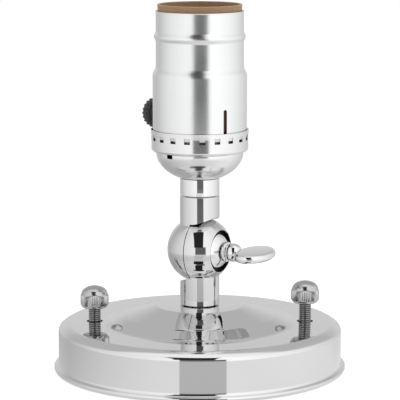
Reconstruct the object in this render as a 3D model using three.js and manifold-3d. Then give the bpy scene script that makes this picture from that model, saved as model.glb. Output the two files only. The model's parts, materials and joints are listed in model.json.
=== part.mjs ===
import * as THREE from 'three';
import { mergeVertices } from 'three/addons/utils/BufferGeometryUtils.js';
import Module from 'manifold-3d';

const wasm = await Module();
wasm.setup();

// Wall sconce, in millimetres, standing on the open back of its canopy, +Z up.
// The photograph looks along +Y.

// Shared values
const gap = 0.3; // between pieces that touch
const overrun = 2; // how far a cutting solid passes its cut
const degree = Math.PI / 180;

// Canopy, 4-1/2 in across
const screwSpacing = 82.55; // 3-1/4 in
const wallBeyondScrews = 14.125;
const rimOverhang = 1.75;
const rimRounding = 1.15;
const rimWidestHeight = 1.3;
const beadHeight = 3.4;
const canopySheet = 1.0;
const ringHeight = 18.6;
const cornerRadius = 3.7;
const ringInsideScrews = 4.4;
const flankRun = 6.5;
const flankRise = 2.95;
const flankFootBend = 1.5;
const seatRadius = 17.2;
const seatHeight = 25.4;
const screwHoleRadius = 3.2;

// Crossbar behind the canopy
const barSheet = 1.6;
const barWidth = 19;
const barRampRun = 4.4;
const earHeight = 10;
const earInside = 3.875; // from the screw's axis toward the middle
const earOutside = 4.725;
const slotWidth = 4.8;
const slotLength = 9;
const slotInset = 7; // from the ramp's foot to the slot's middle
const groundHeadRadius = 4.1;
const groundHeadHeight = 2.4;

// Thumb screws
const threadRadius = 2.4; // 10-32
const threadDepth = 0.45;
const threadPitch = 0.794;
const shankPastEar = 0.3; // past the ear's underside, with the head raised
const thumbHeadRadius = 5.52;
const thumbDomeHeight = 3.2;
const thumbKnurlHeight = 4.5;
const thumbChamfer = 1.0;
const thumbRibs = 36;
const thumbRibDepth = 0.22;
const leftRaise = 5.5; // head above its seat
const rightRaise = 7.5;

// Hollow threaded nipples
const nippleRadius = 5.05; // 1/8 IP
const nippleBore = 3.6;
const canopyNippleLength = 20.6;
const nippleSeatDepth = 8;
const washerSheet = 0.8;
const lockwasherRadius = 8.3;
const locknutHeight = 2.8;
const canopyLocknutFlats = 15.8;
const capLocknutInset = 0.65; // inside the neck's outline
const nipplePastNut = 1.1;

// Swivel
const stemRadius = 7.7;
const stemChamfer = 0.4;
const ballRadius = 12.7; // 1 in ball
const lowerStemLength = 21.6; // foot to ball centre
const upperStemLength = 21.4; // ball centre to top
const swivelTurn = -30; // direction of the key's axis in plan
const cavityRadius = 7.6;
const cavityHalfWidth = 4.2;
const wirePassageRadius = 2.6;
const wirePassageOffset = 3.7;
const counterboreRadius = 8.2;
const counterboreFloor = 7.6; // from the ball centre
const studRadius = 2.4;
const studLength = 20.6;
const domedWasherRadius = 6.8;
const domedWasherRise = 2.2;
const domedWasherRim = 0.4;
const springWasherRadius = 4.4;
const springWasherHeight = 0.9;
const springWasherSlit = 0.8;

// Thumb key
const collarRadius = 3.9;
const collarLength = 1.5;
const keyNeckRadius = 2.7;
const hubRadius = 3.6;
const hubPlace = 15; // from the ball centre
const bladePlace = 24.4;
const bladeHalfLength = 7.3;
const bladeHalfWidth = 10.3;
const bladeThickness = 3.2;
const bladeRounding = 1.1;
const bladeTilt = 3;

// Neck
const neckRadius = 7.65;
const neckLength = 6.4;

// Socket cap
const capSheet = 0.5;
const capFootLip = 0.05; // past the neck
const bowlStep = 1.8; // inside the band
const bowlDepth = 11.55; // half height of the bowl's ellipse
const bandOverShell = 0.55;
const bandShoulder = 1.5;
const shoulderSweep = 70; // degrees
const bandHeight = 7.15;
const lipFlare = 0.25;
const lipHeight = 2.3;
const tabCount = 20;
const tabWidth = 2.3;
const tabHeight = 2.3;
const tabPlace = 4.45; // above the band's foot
const firstTabTurn = -87;
const squareHoleWidth = 2.8;
const squareHoleHeight = 1.5;
const squareHoleDrop = 0.7; // under the bowl's top
const squareHoleTurn = -133;

// Socket shell
const shellSheet = 0.5;
const shellEntry = 6.4; // how far the shell reaches into the cap
const shellEntryGap = 0.8; // room behind the cap's tabs
const shellEntryRise = 0.7;
const shellLowerHeight = 20.86; // above the cap
const shoulderHeight = 3.9;
const shoulderStep = 1.25;
const shellUpperHeight = 21.0;
const ringBeadPlace = 11.2; // above the shoulder
const ringBeadHeight = 4.3;
const ringBeadDepth = 0.75;
const shellTopFlare = 0.15;
const shellTopFlareHeight = 0.8;
const slitWidth = 1.5;
const slitHeight = 9.1;
const slitTurn = -57.9;
const notchWidth = 7.6;

// Insulating liner
const linerSheet = 0.9;
const linerAboveShell = 2.5;
const linerMouthFlare = 0.2;

// Socket body and contacts
const bodyGap = 0.4;
const bodyHeight = 24.4;
const bodyFootInset = 1.9; // inside the bowl
const bodyFootHeight = 1.4;
const terminalPocketFloor = 11.2;
const terminalPocketWidth = 9;
const terminalPocketHeight = 13;
const terminalPocketFoot = 2.4;
const terminalSheet = 0.8;
const terminalPlateMargin = 0.9;
const terminalHeadRadius = 3.2;
const terminalHeadHeight = 1.9;
const terminalSlotWidth = 0.8;
const terminalSlotDepth = 0.9;
const terminalShankRadius = 1.7;
const terminalShankLength = 4.6;
const lampThreadRadius = 13.5;
const threadAir = 1.75; // between the thread and the liner
const lampThreadPitch = 3.63; // 7 per inch
const lampThreadDepth = 0.75;
const lampThreadTurns = 6;
const lampSheet = 0.5;
const lampFlangeInner = 6.4;
const contactWidth = 5;
const contactLength = 8.6;
const contactRise = 3.4;
const contactSheet = 0.6;
const rivetRadius = 1.5;
const rivetHeadHeight = 0.8;
const rivetPlace = 9.4;
const rivetShankRadius = 0.8;
const rivetShankLength = 2.4;

// Switch and turn knob
const knobTurn = 122; // direction of the knob in plan
const knobAboveBody = 15.5; // the knob's axis above the body's foot
const shaftRadius = 1.9;
const shaftStart = 5.5;
const camRadius = 3.4;
const camLength = 3.2;
const camThickness = 4.4;
const knobClearance = 3.0; // off the shell
const knobLength = 13.0;
const knobGripLength = 4.2;
const knobRadius = 6.25;
const knobRibs = 22;
const knobRibDepth = 0.35;
const knobChamfer = 0.6;
const knobNeckRadius = 3.3;
const knobNeckTopRadius = 4.6;
const knobShaftCover = 2.2; // material past the shaft's end
const leafThickness = 0.5;
const leafWidth = 4;
const leafLength = 9;

// Facets round a full turn
const bigTurn = 48;
const socketTurn = 36;
const stemTurn = 28;
const smallTurn = 16;
const threadTurn = 8;
const arcSteps = 3;

// Places worked out from the sizes above
const screwPlace = screwSpacing / 2;
const wallRadius = screwPlace + wallBeyondScrews;
const rimRadius = wallRadius + rimOverhang;
const rimFlatRadius = rimRadius - rimRounding;
const ringInnerRadius = screwPlace - ringInsideScrews;
const flankTopRadius = ringInnerRadius - flankRun;
const flankTop = ringHeight + flankRise;
const rampEnd = screwPlace - earInside;
const rampFoot = rampEnd - barRampRun;
const slotCentre = rampFoot - slotInset;
const groundScrewPlace = slotCentre / 2;
const shankLength = ringHeight + rightRaise - (earHeight - barSheet) + shankPastEar;
const kneeFoot = seatHeight + gap;
const ballHeight = kneeFoot + lowerStemLength;
const neckFoot = ballHeight + upperStemLength + gap;
const capFoot = neckFoot + neckLength + gap;
const capNutFoot = capFoot + capSheet + gap;
const capNutFlats = 2 * (neckRadius - capLocknutInset);
const linerUpperRadius = lampThreadRadius + threadAir + linerSheet;
const shellUpperRadius = linerUpperRadius + gap + shellSheet;
const shellRadius = shellUpperRadius + shoulderStep;
const bandRadius = shellRadius + bandOverShell;
const bowlRadius = bandRadius - bowlStep;
const capFootRadius = neckRadius + capFootLip;
const bodyFootRadius = bowlRadius - bodyFootInset;
const bowlTop = capFoot + bowlDepth * Math.sqrt(1 - (capFootRadius / bowlRadius) ** 2);
const bandFoot = bowlTop + bandShoulder;
const capTop = bandFoot + bandHeight;
const shoulderFoot = capTop + shellLowerHeight;
const shoulderTop = shoulderFoot + shoulderHeight;
const shellTop = shoulderTop + shellUpperHeight;
const shellEntryRadius = bandRadius - capSheet - shellEntryGap;
const linerEntryRadius = shellEntryRadius - shellSheet - gap;
const linerLowerRadius = shellRadius - shellSheet - gap;
const bodyRadius = linerEntryRadius - linerSheet - bodyGap;
const knobHeight = bodyFoot() + knobAboveBody;
const knobStart = shellRadius + knobClearance;
const knobEnd = knobStart + knobLength;
const nippleHole = nippleRadius + gap;

// Finishes
const chrome = new THREE.MeshStandardMaterial({ color: 0xd6d8da, roughness: 0.08, metalness: 1 });
const satinAluminium = new THREE.MeshStandardMaterial({ color: 0xcfd0d1, roughness: 0.3, metalness: 1 });
const zincSteel = new THREE.MeshStandardMaterial({ color: 0xa9adb0, roughness: 0.35, metalness: 1 });
const brass = new THREE.MeshStandardMaterial({ color: 0xc9a558, roughness: 0.3, metalness: 1 });
const nickel = new THREE.MeshStandardMaterial({ color: 0xc4c2ba, roughness: 0.3, metalness: 1 });
const greenSteel = new THREE.MeshStandardMaterial({ color: 0x2f7a45, roughness: 0.4, metalness: 0.6 });
const blackPhenolic = new THREE.MeshStandardMaterial({ color: 0x1a1918, roughness: 0.45, metalness: 0 });
const tanFibre = new THREE.MeshStandardMaterial({ color: 0x8d7460, roughness: 0.85, metalness: 0 });

// Turns a closed three.js geometry into a solid that can be joined and cut
function solidOf(geometry) {
  const loose = geometry.index ? geometry.toNonIndexed() : geometry;
  const bare = new THREE.BufferGeometry();
  bare.setAttribute('position', loose.getAttribute('position'));
  const merged = mergeVertices(bare, gap / 1000);
  const place = merged.getAttribute('position').array;
  const corners = [];
  let volume = 0;
  const a = new THREE.Vector3();
  const b = new THREE.Vector3();
  const c = new THREE.Vector3();
  for (let i = 0; i < merged.index.count; i += 3) {
    const [p, q, r] = [merged.index.getX(i), merged.index.getX(i + 1), merged.index.getX(i + 2)];
    if (p === q || q === r || r === p) continue;
    corners.push(p, q, r);
    volume += a.fromArray(place, 3 * p).dot(b.fromArray(place, 3 * q).cross(c.fromArray(place, 3 * r)));
  }
  if (volume < 0) corners.reverse();
  const mesh = new wasm.Mesh({
    numProp: 3,
    vertProperties: Float32Array.from(place),
    triVerts: Uint32Array.from(corners),
  });
  return new wasm.Manifold(mesh);
}

function pieceOf(name, solid, material) {
  const mesh = solid.getMesh();
  const geometry = new THREE.BufferGeometry();
  geometry.setAttribute('position', new THREE.BufferAttribute(mesh.vertProperties, 3));
  geometry.setIndex(new THREE.BufferAttribute(mesh.triVerts, 1));
  geometry.computeVertexNormals();
  const piece = new THREE.Mesh(geometry, material);
  piece.name = name;
  return piece;
}

// A solid of revolution about Z, from [radius, height] pairs that close on themselves
function turnedGeometry(outline, sides) {
  const points = outline.map(([radius, height]) => new THREE.Vector2(radius, height));
  if (points[0].x > 0 || points.at(-1).x > 0) points.push(points[0].clone());
  return new THREE.LatheGeometry(points, sides).rotateX(Math.PI / 2);
}

function turned(outline, sides) {
  return solidOf(turnedGeometry(outline, sides));
}

// Points of an elliptical arc, angles in degrees
function arc(centreX, centreY, radiusX, radiusY, from, to, steps = arcSteps) {
  const points = [];
  for (let i = 0; i <= steps; i++) {
    const angle = (from + (to - from) * i / steps) * degree;
    points.push([centreX + radiusX * Math.cos(angle), centreY + radiusY * Math.sin(angle)]);
  }
  return points;
}

function rod(radius, foot, top, sides) {
  return turned([[0, foot], [radius, foot], [radius, top], [0, top]], sides);
}

function tube(inner, outer, foot, top, sides) {
  return turned([[inner, foot], [outer, foot], [outer, top], [inner, top]], sides);
}

// A rod along X from one place to another, at the origin's height
function rodAlongX(radius, from, to, sides, y = 0, z = 0) {
  const outline = [[0, from], [radius, from], [radius, to], [0, to]];
  return solidOf(turnedGeometry(outline, sides).rotateY(Math.PI / 2).translate(0, y, z));
}

function block(lengthX, lengthY, lengthZ, x, y, z) {
  return solidOf(new THREE.BoxGeometry(lengthX, lengthY, lengthZ).translate(x, y, z));
}

// A prism along Z, from [x, y] pairs
function prism(outline, foot, top) {
  const shape = new THREE.Shape(outline.map(([x, y]) => new THREE.Vector2(x, y)));
  const geometry = new THREE.ExtrudeGeometry(shape, { depth: top - foot, bevelEnabled: false });
  return solidOf(geometry.translate(0, 0, foot));
}

function hexOutline(acrossFlats) {
  const radius = acrossFlats / Math.sqrt(3);
  return arc(0, 0, radius, radius, 0, 360, 6).slice(1);
}

// A round outline with evenly spaced ribs
function ribbedOutline(radius, depth, ribs) {
  return Array.from({ length: 2 * ribs }, (_, i) => {
    const reach = i % 2 ? radius - depth : radius;
    const angle = i * Math.PI / ribs;
    return [reach * Math.cos(angle), reach * Math.sin(angle)];
  });
}

function roundSlot(length, width, foot, top, x) {
  const reach = (length - width) / 2;
  const ends = rod(width / 2, foot, top, smallTurn);
  const middle = block(2 * reach, width, top - foot, 0, 0, (foot + top) / 2);
  return ends.translate([-reach, 0, 0]).add(ends.translate([reach, 0, 0])).add(middle).translate([x, 0, 0]);
}

// Canopy: spun sheet with a rolled rim, a flat ring and a low dome with a flat top
function canopyOutline() {
  const wallInner = wallRadius - canopySheet;
  const flatOuter = wallRadius - cornerRadius;
  const cornerHeight = ringHeight - cornerRadius;
  const bendRise = (flankFootBend * flankRise) / flankRun;
  const domeUp = [
    [ringInnerRadius + flankFootBend, ringHeight],
    [ringInnerRadius, ringHeight + bendRise / 4],
    [ringInnerRadius - flankFootBend, ringHeight + bendRise],
    [flankTopRadius, flankTop],
    [seatRadius, seatHeight],
  ];
  const domeDown = domeUp.map(([radius, height]) => [radius, height - canopySheet]).reverse();
  return [
    [wallInner, 0],
    ...arc(rimFlatRadius, rimWidestHeight, rimRadius - rimFlatRadius, rimWidestHeight, -90, 0),
    ...arc(wallRadius, rimWidestHeight, rimRadius - wallRadius, beadHeight - rimWidestHeight, 0, 90).slice(1),
    ...arc(flatOuter, cornerHeight, cornerRadius, cornerRadius, 0, 90),
    ...domeUp,
    [nippleHole, seatHeight],
    [nippleHole, seatHeight - canopySheet],
    ...domeDown,
    ...arc(flatOuter, cornerHeight, cornerRadius - canopySheet, cornerRadius - canopySheet, 90, 0),
  ];
}

function makeCanopy() {
  const foot = ringHeight - canopySheet - overrun;
  const hole = rod(screwHoleRadius, foot, ringHeight + overrun, smallTurn);
  const body = turned(canopyOutline(), bigTurn)
    .subtract(hole.translate([-screwPlace, 0, 0]))
    .subtract(hole.translate([screwPlace, 0, 0]));
  return pieceOf('canopy', body, chrome);
}

// Crossbar: a strap on the wall with two raised ears
function makeCrossbar() {
  const rise = earHeight - barSheet;
  const under = [[rampFoot, 0], [rampEnd, rise], [screwPlace + earOutside, rise]];
  const over = under.map(([x, z]) => [x, z + barSheet]);
  const mirror = (points) => points.map(([x, z]) => [-x, z]).reverse();
  const outline = [...under, ...over.toReversed(), ...mirror(over.toReversed()), ...mirror(under)];
  const shape = new THREE.Shape(outline.map(([x, z]) => new THREE.Vector2(x, z)));
  const strap = new THREE.ExtrudeGeometry(shape, { depth: barWidth, bevelEnabled: false });
  strap.translate(0, 0, -barWidth / 2).rotateX(Math.PI / 2);
  const earHole = rod(threadRadius + gap, -overrun, earHeight + overrun, smallTurn);
  const barHole = rod(nippleHole, -overrun, barSheet + overrun, smallTurn);
  const groundHole = rod(threadRadius + gap, -overrun, barSheet + overrun, smallTurn);
  const bar = solidOf(strap)
    .subtract(earHole.translate([-screwPlace, 0, 0]))
    .subtract(earHole.translate([screwPlace, 0, 0]))
    .subtract(barHole)
    .subtract(groundHole.translate([groundScrewPlace, 0, 0]))
    .subtract(roundSlot(slotLength, slotWidth, -overrun, barSheet + overrun, slotCentre))
    .subtract(roundSlot(slotLength, slotWidth, -overrun, barSheet + overrun, -slotCentre));
  return pieceOf('crossbar', bar, zincSteel);
}

function makeGroundScrew() {
  const head = prism(hexOutline(2 * groundHeadRadius), barSheet + gap, barSheet + gap + groundHeadHeight);
  const shank = rod(threadRadius, gap, barSheet + 2 * gap, threadTurn);
  const piece = pieceOf('ground_screw', head.add(shank), greenSteel);
  piece.position.x = groundScrewPlace;
  return piece;
}

// Threaded shank: one ring per turn of the thread, from its foot up to zero
function threadedShank(radius, length, sides) {
  const root = radius - threadDepth;
  const turns = Math.floor(length / threadPitch);
  const outline = [[0, -length], [root, -length]];
  for (let i = 0; i < turns; i++) {
    const foot = -length + threadPitch * i;
    outline.push([root, foot + threadPitch / 4], [radius, foot + threadPitch / 2]);
  }
  outline.push([root, -length + threadPitch * turns], [root, gap], [0, gap]);
  return turned(outline, sides);
}

// Thumb screw: its own origin is on its axis at the underside of the head
function makeThumbScrew(name, x, raise) {
  const knurlTop = thumbChamfer + thumbKnurlHeight;
  const knurl = prism(ribbedOutline(thumbHeadRadius, thumbRibDepth, thumbRibs), thumbChamfer, knurlTop);
  const domeRadius = thumbHeadRadius - thumbRibDepth;
  const head = turned([
    [0, 0],
    [thumbHeadRadius - thumbChamfer, 0],
    [domeRadius, thumbChamfer],
    ...arc(0, knurlTop, domeRadius, thumbDomeHeight, 0, 90),
  ], thumbRibs / 2);
  const shank = threadedShank(threadRadius, shankLength, threadTurn);
  const piece = pieceOf(name, knurl.add(head).add(shank), chrome);
  piece.position.set(x, 0, ringHeight + raise);
  return piece;
}

function makeNipple(name, foot, length) {
  const piece = pieceOf(name, tube(nippleBore, nippleRadius, 0, length, stemTurn / 2), zincSteel);
  piece.position.z = foot;
  return piece;
}

function makeLocknut(name, acrossFlats, foot) {
  const hole = rod(nippleHole, -overrun, locknutHeight + overrun, stemTurn / 2);
  const piece = pieceOf(name, prism(hexOutline(acrossFlats), 0, locknutHeight).subtract(hole), zincSteel);
  piece.position.z = foot;
  return piece;
}

function makeCanopyLockwasher(foot) {
  const ring = tube(nippleHole, lockwasherRadius, 0, washerSheet, stemTurn / 2);
  const piece = pieceOf('canopy_lockwasher', ring, zincSteel);
  piece.position.z = foot;
  return piece;
}

// The swivel is made about the ball's centre, with X along the key's axis.
// side is 1 for the half that faces +X.
function halfBallOnStem(side, stemEnd) {
  const ball = solidOf(new THREE.SphereGeometry(ballRadius, stemTurn, stemTurn / 2).rotateZ(Math.PI / 2));
  const chamfered = stemEnd - Math.sign(stemEnd) * stemChamfer;
  const stem = turned([
    [0, 0],
    [stemRadius, 0],
    [stemRadius, chamfered],
    [stemRadius - stemChamfer, stemEnd],
    [0, stemEnd],
  ], stemTurn);
  const reach = ballRadius + overrun;
  const otherSide = rodAlongX(ballRadius + gap, -side * reach, side * gap / 2, stemTurn);
  const cavity = rodAlongX(cavityRadius, -side * overrun, side * cavityHalfWidth, stemTurn / 2);
  const seatFloor = stemEnd - Math.sign(stemEnd) * nippleSeatDepth;
  const past = stemEnd + Math.sign(stemEnd) * overrun;
  const seat = turned([[0, seatFloor], [nippleHole, seatFloor], [nippleHole, past], [0, past]], stemTurn / 2);
  const passage = turned([
    [0, 0],
    [wirePassageRadius, 0],
    [wirePassageRadius, seatFloor + Math.sign(stemEnd) * gap],
    [0, seatFloor + Math.sign(stemEnd) * gap],
  ], smallTurn).translate([side * wirePassageOffset, 0, 0]);
  return ball.add(stem).subtract(otherSide).subtract(cavity).subtract(seat).subtract(passage);
}

function makeLowerKnuckle() {
  const reach = ballRadius + overrun;
  const half = halfBallOnStem(1, -lowerStemLength)
    .subtract(rodAlongX(counterboreRadius, counterboreFloor, reach, stemTurn))
    .subtract(rodAlongX(studRadius + gap, 0, reach, smallTurn));
  return pieceOf('lower_knuckle', half, chrome);
}

function makeUpperKnuckle() {
  const studEnd = counterboreFloor + studPlace() - studLength;
  const half = halfBallOnStem(-1, upperStemLength)
    .subtract(rodAlongX(studRadius + gap, studEnd - gap, 0, smallTurn));
  return pieceOf('upper_knuckle', half, chrome);
}

// Distance from the counterbore's floor to the collar's face
function studPlace() {
  return domedWasherRim + domedWasherRise + washerSheet + gap;
}

function makeKeySpringWasher() {
  const foot = counterboreFloor + gap;
  const ring = tube(studRadius + gap, springWasherRadius, foot, foot + springWasherHeight, smallTurn);
  const slit = block(springWasherRadius, springWasherSlit, springWasherHeight + 2 * overrun,
    springWasherRadius, 0, foot);
  const washer = ring.subtract(slit);
  const piece = pieceOf('key_spring_washer', washer, zincSteel);
  piece.rotation.y = Math.PI / 2;
  return piece;
}

// Domed washer: a shallow cup over the spring washer, with its edge on the counterbore's floor
function makeKeyWasher() {
  const foot = counterboreFloor + gap;
  const hole = studRadius + gap;
  const shares = [0, 0.25, 0.5, 0.75, 1];
  const crown = (radius, share) => domedWasherRise * (1 - share * share);
  const outer = shares.map((share) => {
    const radius = hole + (domedWasherRadius - hole) * share;
    return [radius, foot + domedWasherRim + washerSheet / 2 + crown(radius, share)];
  });
  const innerRadius = domedWasherRadius - washerSheet;
  const inner = shares.map((share) => {
    const radius = hole + (innerRadius - hole) * share;
    return [radius, foot + domedWasherRim - washerSheet / 2 + crown(radius, share)];
  });
  const outline = [[innerRadius, foot], [domedWasherRadius, foot], ...outer.toReversed(), ...inner];
  const cup = turned(outline, stemTurn);
  const piece = pieceOf('key_washer', cup, chrome);
  piece.rotation.y = Math.PI / 2;
  return piece;
}

// Thumb key: stud, collar, round hub and flat oval blade
function makeThumbKey() {
  const collarStart = counterboreFloor + studPlace();
  const collarEnd = collarStart + collarLength;
  const stud = rodAlongX(studRadius, collarStart - studLength, collarEnd, smallTurn);
  const collar = rodAlongX(collarRadius, collarStart, collarEnd, stemTurn / 2);
  const neck = rodAlongX(keyNeckRadius, collarStart, hubPlace, smallTurn);
  const hub = solidOf(new THREE.SphereGeometry(hubRadius, smallTurn, threadTurn).translate(hubPlace, 0, 0));
  const coreLength = bladeHalfLength - bladeRounding;
  const coreWidth = bladeHalfWidth - bladeRounding;
  const outline = arc(0, 0, coreLength, coreWidth, 0, 360, stemTurn).slice(1);
  const shape = new THREE.Shape(outline.map(([x, y]) => new THREE.Vector2(x, y)));
  const core = bladeThickness - 2 * bladeRounding;
  const blade = new THREE.ExtrudeGeometry(shape, {
    depth: core,
    bevelThickness: bladeRounding,
    bevelSize: bladeRounding,
    bevelSegments: 2,
  });
  blade.translate(0, 0, -core / 2).rotateX(bladeTilt * degree).translate(bladePlace, 0, 0);
  return pieceOf('thumb_key', stud.add(collar).add(neck).add(hub).add(solidOf(blade)), chrome);
}

function makeNeckCoupling() {
  const sleeve = turned([
    [nippleHole, 0],
    [neckRadius - stemChamfer, 0],
    [neckRadius, stemChamfer],
    [neckRadius, neckLength - stemChamfer],
    [neckRadius - stemChamfer, neckLength],
    [nippleHole, neckLength],
  ], stemTurn);
  const piece = pieceOf('neck_coupling', sleeve, chrome);
  piece.position.z = neckFoot;
  return piece;
}

// Radius of the bowl's inner wall at a height
function bowlInnerRadius(height) {
  const share = (bowlTop - height) / (bowlDepth - capSheet);
  return (bowlRadius - capSheet) * Math.sqrt(1 - share * share);
}

// Socket cap: an elliptical bowl, a round shoulder and a straight band with pressed windows
function makeSocketCap() {
  const footAngle = -Math.acos(capFootRadius / bowlRadius) / degree;
  const innerFoot = capFoot + capSheet;
  const innerFootAngle = -Math.asin((bowlTop - innerFoot) / (bowlDepth - capSheet)) / degree;
  const lipFoot = capTop - lipHeight;
  const bowl = turned([
    [nippleHole, capFoot],
    ...arc(0, bowlTop, bowlRadius, bowlDepth, footAngle, 0, 2 * arcSteps),
    ...arc(bowlRadius, bandFoot, bowlStep, bandShoulder, -shoulderSweep, 0),
    [bandRadius, lipFoot],
    [bandRadius + lipFlare, capTop],
    [bandRadius + lipFlare - capSheet, capTop],
    [bandRadius - capSheet, lipFoot],
    ...arc(bowlRadius - capSheet, bandFoot, bowlStep, bandShoulder - capSheet, 0, -shoulderSweep),
    ...arc(0, bowlTop, bowlRadius - capSheet, bowlDepth - capSheet, 0, innerFootAngle, 2 * arcSteps),
    [nippleHole, innerFoot],
  ], socketTurn);
  const tabHeightAt = bandFoot + tabPlace;
  let cap = bowl;
  for (let i = 0; i < tabCount; i++) {
    const angle = firstTabTurn * degree + i * 2 * Math.PI / tabCount;
    const window = new THREE.BoxGeometry(2 * overrun, tabWidth, tabHeight);
    window.translate(bandRadius, 0, tabHeightAt).rotateZ(angle);
    cap = cap.subtract(solidOf(window));
  }
  const square = new THREE.BoxGeometry(2 * overrun, squareHoleWidth, squareHoleHeight);
  square.translate(bowlRadius, 0, bowlTop - squareHoleDrop).rotateZ(squareHoleTurn * degree);
  return pieceOf('socket_cap', cap.subtract(solidOf(square)), satinAluminium);
}

// A notch from below and a round end at the shaft, for the switch shaft to come out through
function shaftNotch(foot) {
  const reach = bandRadius;
  const slotFoot = foot - overrun;
  const hole = rodAlongX(notchWidth / 2, 0, reach, smallTurn, 0, knobHeight);
  const slot = block(reach, notchWidth, knobHeight - slotFoot, reach / 2, 0, (knobHeight + slotFoot) / 2);
  return hole.add(slot).rotate([0, 0, knobTurn]);
}

function shellOutline() {
  const foot = capTop - shellEntry;
  const beadCentre = shoulderTop + ringBeadPlace;
  const flareFoot = shellTop - shellTopFlareHeight;
  const skin = (inset, beadSteps) => [
    [shellEntryRadius - inset, foot],
    [shellEntryRadius - inset, capTop],
    [shellRadius - inset, capTop + shellEntryRise],
    [shellRadius - inset, shoulderFoot],
    [(shellRadius + shellUpperRadius) / 2 + ringBeadDepth / 3 - inset, (shoulderFoot + shoulderTop) / 2],
    [shellUpperRadius - inset, shoulderTop],
    ...arc(shellUpperRadius - inset, beadCentre, ringBeadDepth, ringBeadHeight / 2, -90, 90, beadSteps),
    [shellUpperRadius - inset, flareFoot],
    [shellUpperRadius + shellTopFlare - inset, shellTop],
  ];
  return [...skin(0, arcSteps), ...skin(shellSheet, arcSteps).reverse()];
}

// Socket shell: two diameters, a shoulder, a bead, a slit and a notch for the shaft
function makeSocketShell() {
  const foot = capTop - shellEntry;
  const slit = new THREE.BoxGeometry(2 * overrun, slitWidth, shellEntry + slitHeight + overrun);
  slit.translate(shellRadius, 0, foot + (shellEntry + slitHeight - overrun) / 2).rotateZ(slitTurn * degree);
  const shell = turned(shellOutline(), socketTurn).subtract(shaftNotch(foot)).subtract(solidOf(slit));
  return pieceOf('socket_shell', shell, satinAluminium);
}

// Insulating liner: a fibre tube that follows the shell inside and stands above it
function makeInsulatingLiner() {
  const foot = capTop - shellEntry;
  const top = shellTop + linerAboveShell;
  const skin = (inset) => [
    [linerEntryRadius - inset, foot],
    [linerEntryRadius - inset, capTop],
    [linerLowerRadius - inset, capTop + shellEntryRise],
    [linerLowerRadius - inset, shoulderFoot - gap],
    [linerUpperRadius - inset, shoulderTop - gap],
    [linerUpperRadius - inset, shellTop],
    [linerUpperRadius + linerMouthFlare - inset, top],
  ];
  const body = turned([...skin(0), ...skin(linerSheet).reverse()], socketTurn).subtract(shaftNotch(foot));
  return pieceOf('insulating_liner', body, tanFibre);
}

// Moulded block under the lamp's thread, with pockets for the terminals and a bore for the shaft
function bodyFoot() {
  const reach = bodyFootRadius + gap;
  const share = reach / (bowlRadius - capSheet);
  return bowlTop - (bowlDepth - capSheet) * Math.sqrt(1 - share * share) + gap;
}

function terminalHeight() {
  return bodyFoot() + terminalPocketFoot + terminalPocketHeight / 2;
}

function makeSocketBody() {
  const foot = bodyFoot();
  const top = foot + bodyHeight;
  let body = turned([
    [nippleHole, foot],
    [bodyFootRadius, foot],
    [bodyRadius, foot + bodyFootHeight],
    [bodyRadius, top - bodyFootHeight],
    [bodyRadius - bodyFootHeight, top],
    [0, top],
    [0, foot + locknutHeight],
    [nippleHole, foot + locknutHeight],
  ], socketTurn);
  for (const side of [-1, 1]) {
    const pocket = block(bodyRadius, terminalPocketWidth, terminalPocketHeight,
      terminalPocketFloor + bodyRadius / 2, 0, terminalHeight());
    const shank = rodAlongX(terminalShankRadius + gap, terminalPocketFloor - terminalShankLength, bodyRadius,
      smallTurn, 0, terminalHeight());
    body = body.subtract(pocket.add(shank).rotate([0, 0, knobTurn + side * 90]));
  }
  const cam = rodAlongX(camRadius + gap, shaftStart - gap, shaftStart + camLength + gap, smallTurn);
  const shaft = rodAlongX(shaftRadius + gap, shaftStart, bandRadius, smallTurn);
  const leafRoom = block(leafLength + 2 * gap, leafWidth + 2 * gap, leafThickness + 2 * gap,
    leafPlace()[0], 0, leafPlace()[2]);
  const mechanism = cam.add(shaft).add(leafRoom).translate([0, 0, knobHeight]).rotate([0, 0, knobTurn]);
  const rivetHole = rod(rivetShankRadius + gap, top - rivetShankLength, top + overrun, threadTurn);
  body = body.subtract(mechanism)
    .subtract(rivetHole.translate([rivetPlace, 0, 0]))
    .subtract(rivetHole.translate([-rivetPlace, 0, 0]));
  return pieceOf('socket_body', body, blackPhenolic);
}

// Centre of the leaf, counted from the shaft's axis
function leafPlace() {
  return [shaftStart + camLength / 2, 0, -camRadius - gap - leafThickness / 2];
}

function makeSwitchContact() {
  const [x, y, z] = leafPlace();
  const leaf = new THREE.BoxGeometry(leafLength, leafWidth, leafThickness);
  leaf.translate(x, y, z + knobHeight).rotateZ(knobTurn * degree);
  return pieceOf('switch_contact', solidOf(leaf), brass);
}

// Terminal plate on the pocket's floor
function makeTerminal(name, side, material) {
  const width = terminalPocketWidth - 2 * terminalPlateMargin;
  const height = terminalPocketHeight - 2 * terminalPlateMargin;
  const middle = terminalPocketFloor + gap + terminalSheet / 2;
  const plate = block(terminalSheet, width, height, middle, 0, 0)
    .subtract(rodAlongX(terminalShankRadius + gap, 0, bandRadius, smallTurn));
  const piece = pieceOf(name, plate, material);
  piece.position.z = terminalHeight();
  piece.rotation.z = (knobTurn + side * 90) * degree;
  return piece;
}

function makeTerminalScrew(name, side, material) {
  const seat = terminalPocketFloor + 2 * gap + terminalSheet;
  const end = seat + terminalHeadHeight;
  const head = rodAlongX(terminalHeadRadius, seat, end, smallTurn);
  const shank = rodAlongX(terminalShankRadius, seat - terminalShankLength, end, threadTurn);
  const slot = block(2 * terminalSlotDepth, 2 * terminalHeadRadius + overrun, terminalSlotWidth, end, 0, 0);
  const piece = pieceOf(name, head.add(shank).subtract(slot), material);
  piece.position.z = terminalHeight();
  piece.rotation.z = (knobTurn + side * 90) * degree;
  return piece;
}

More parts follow.
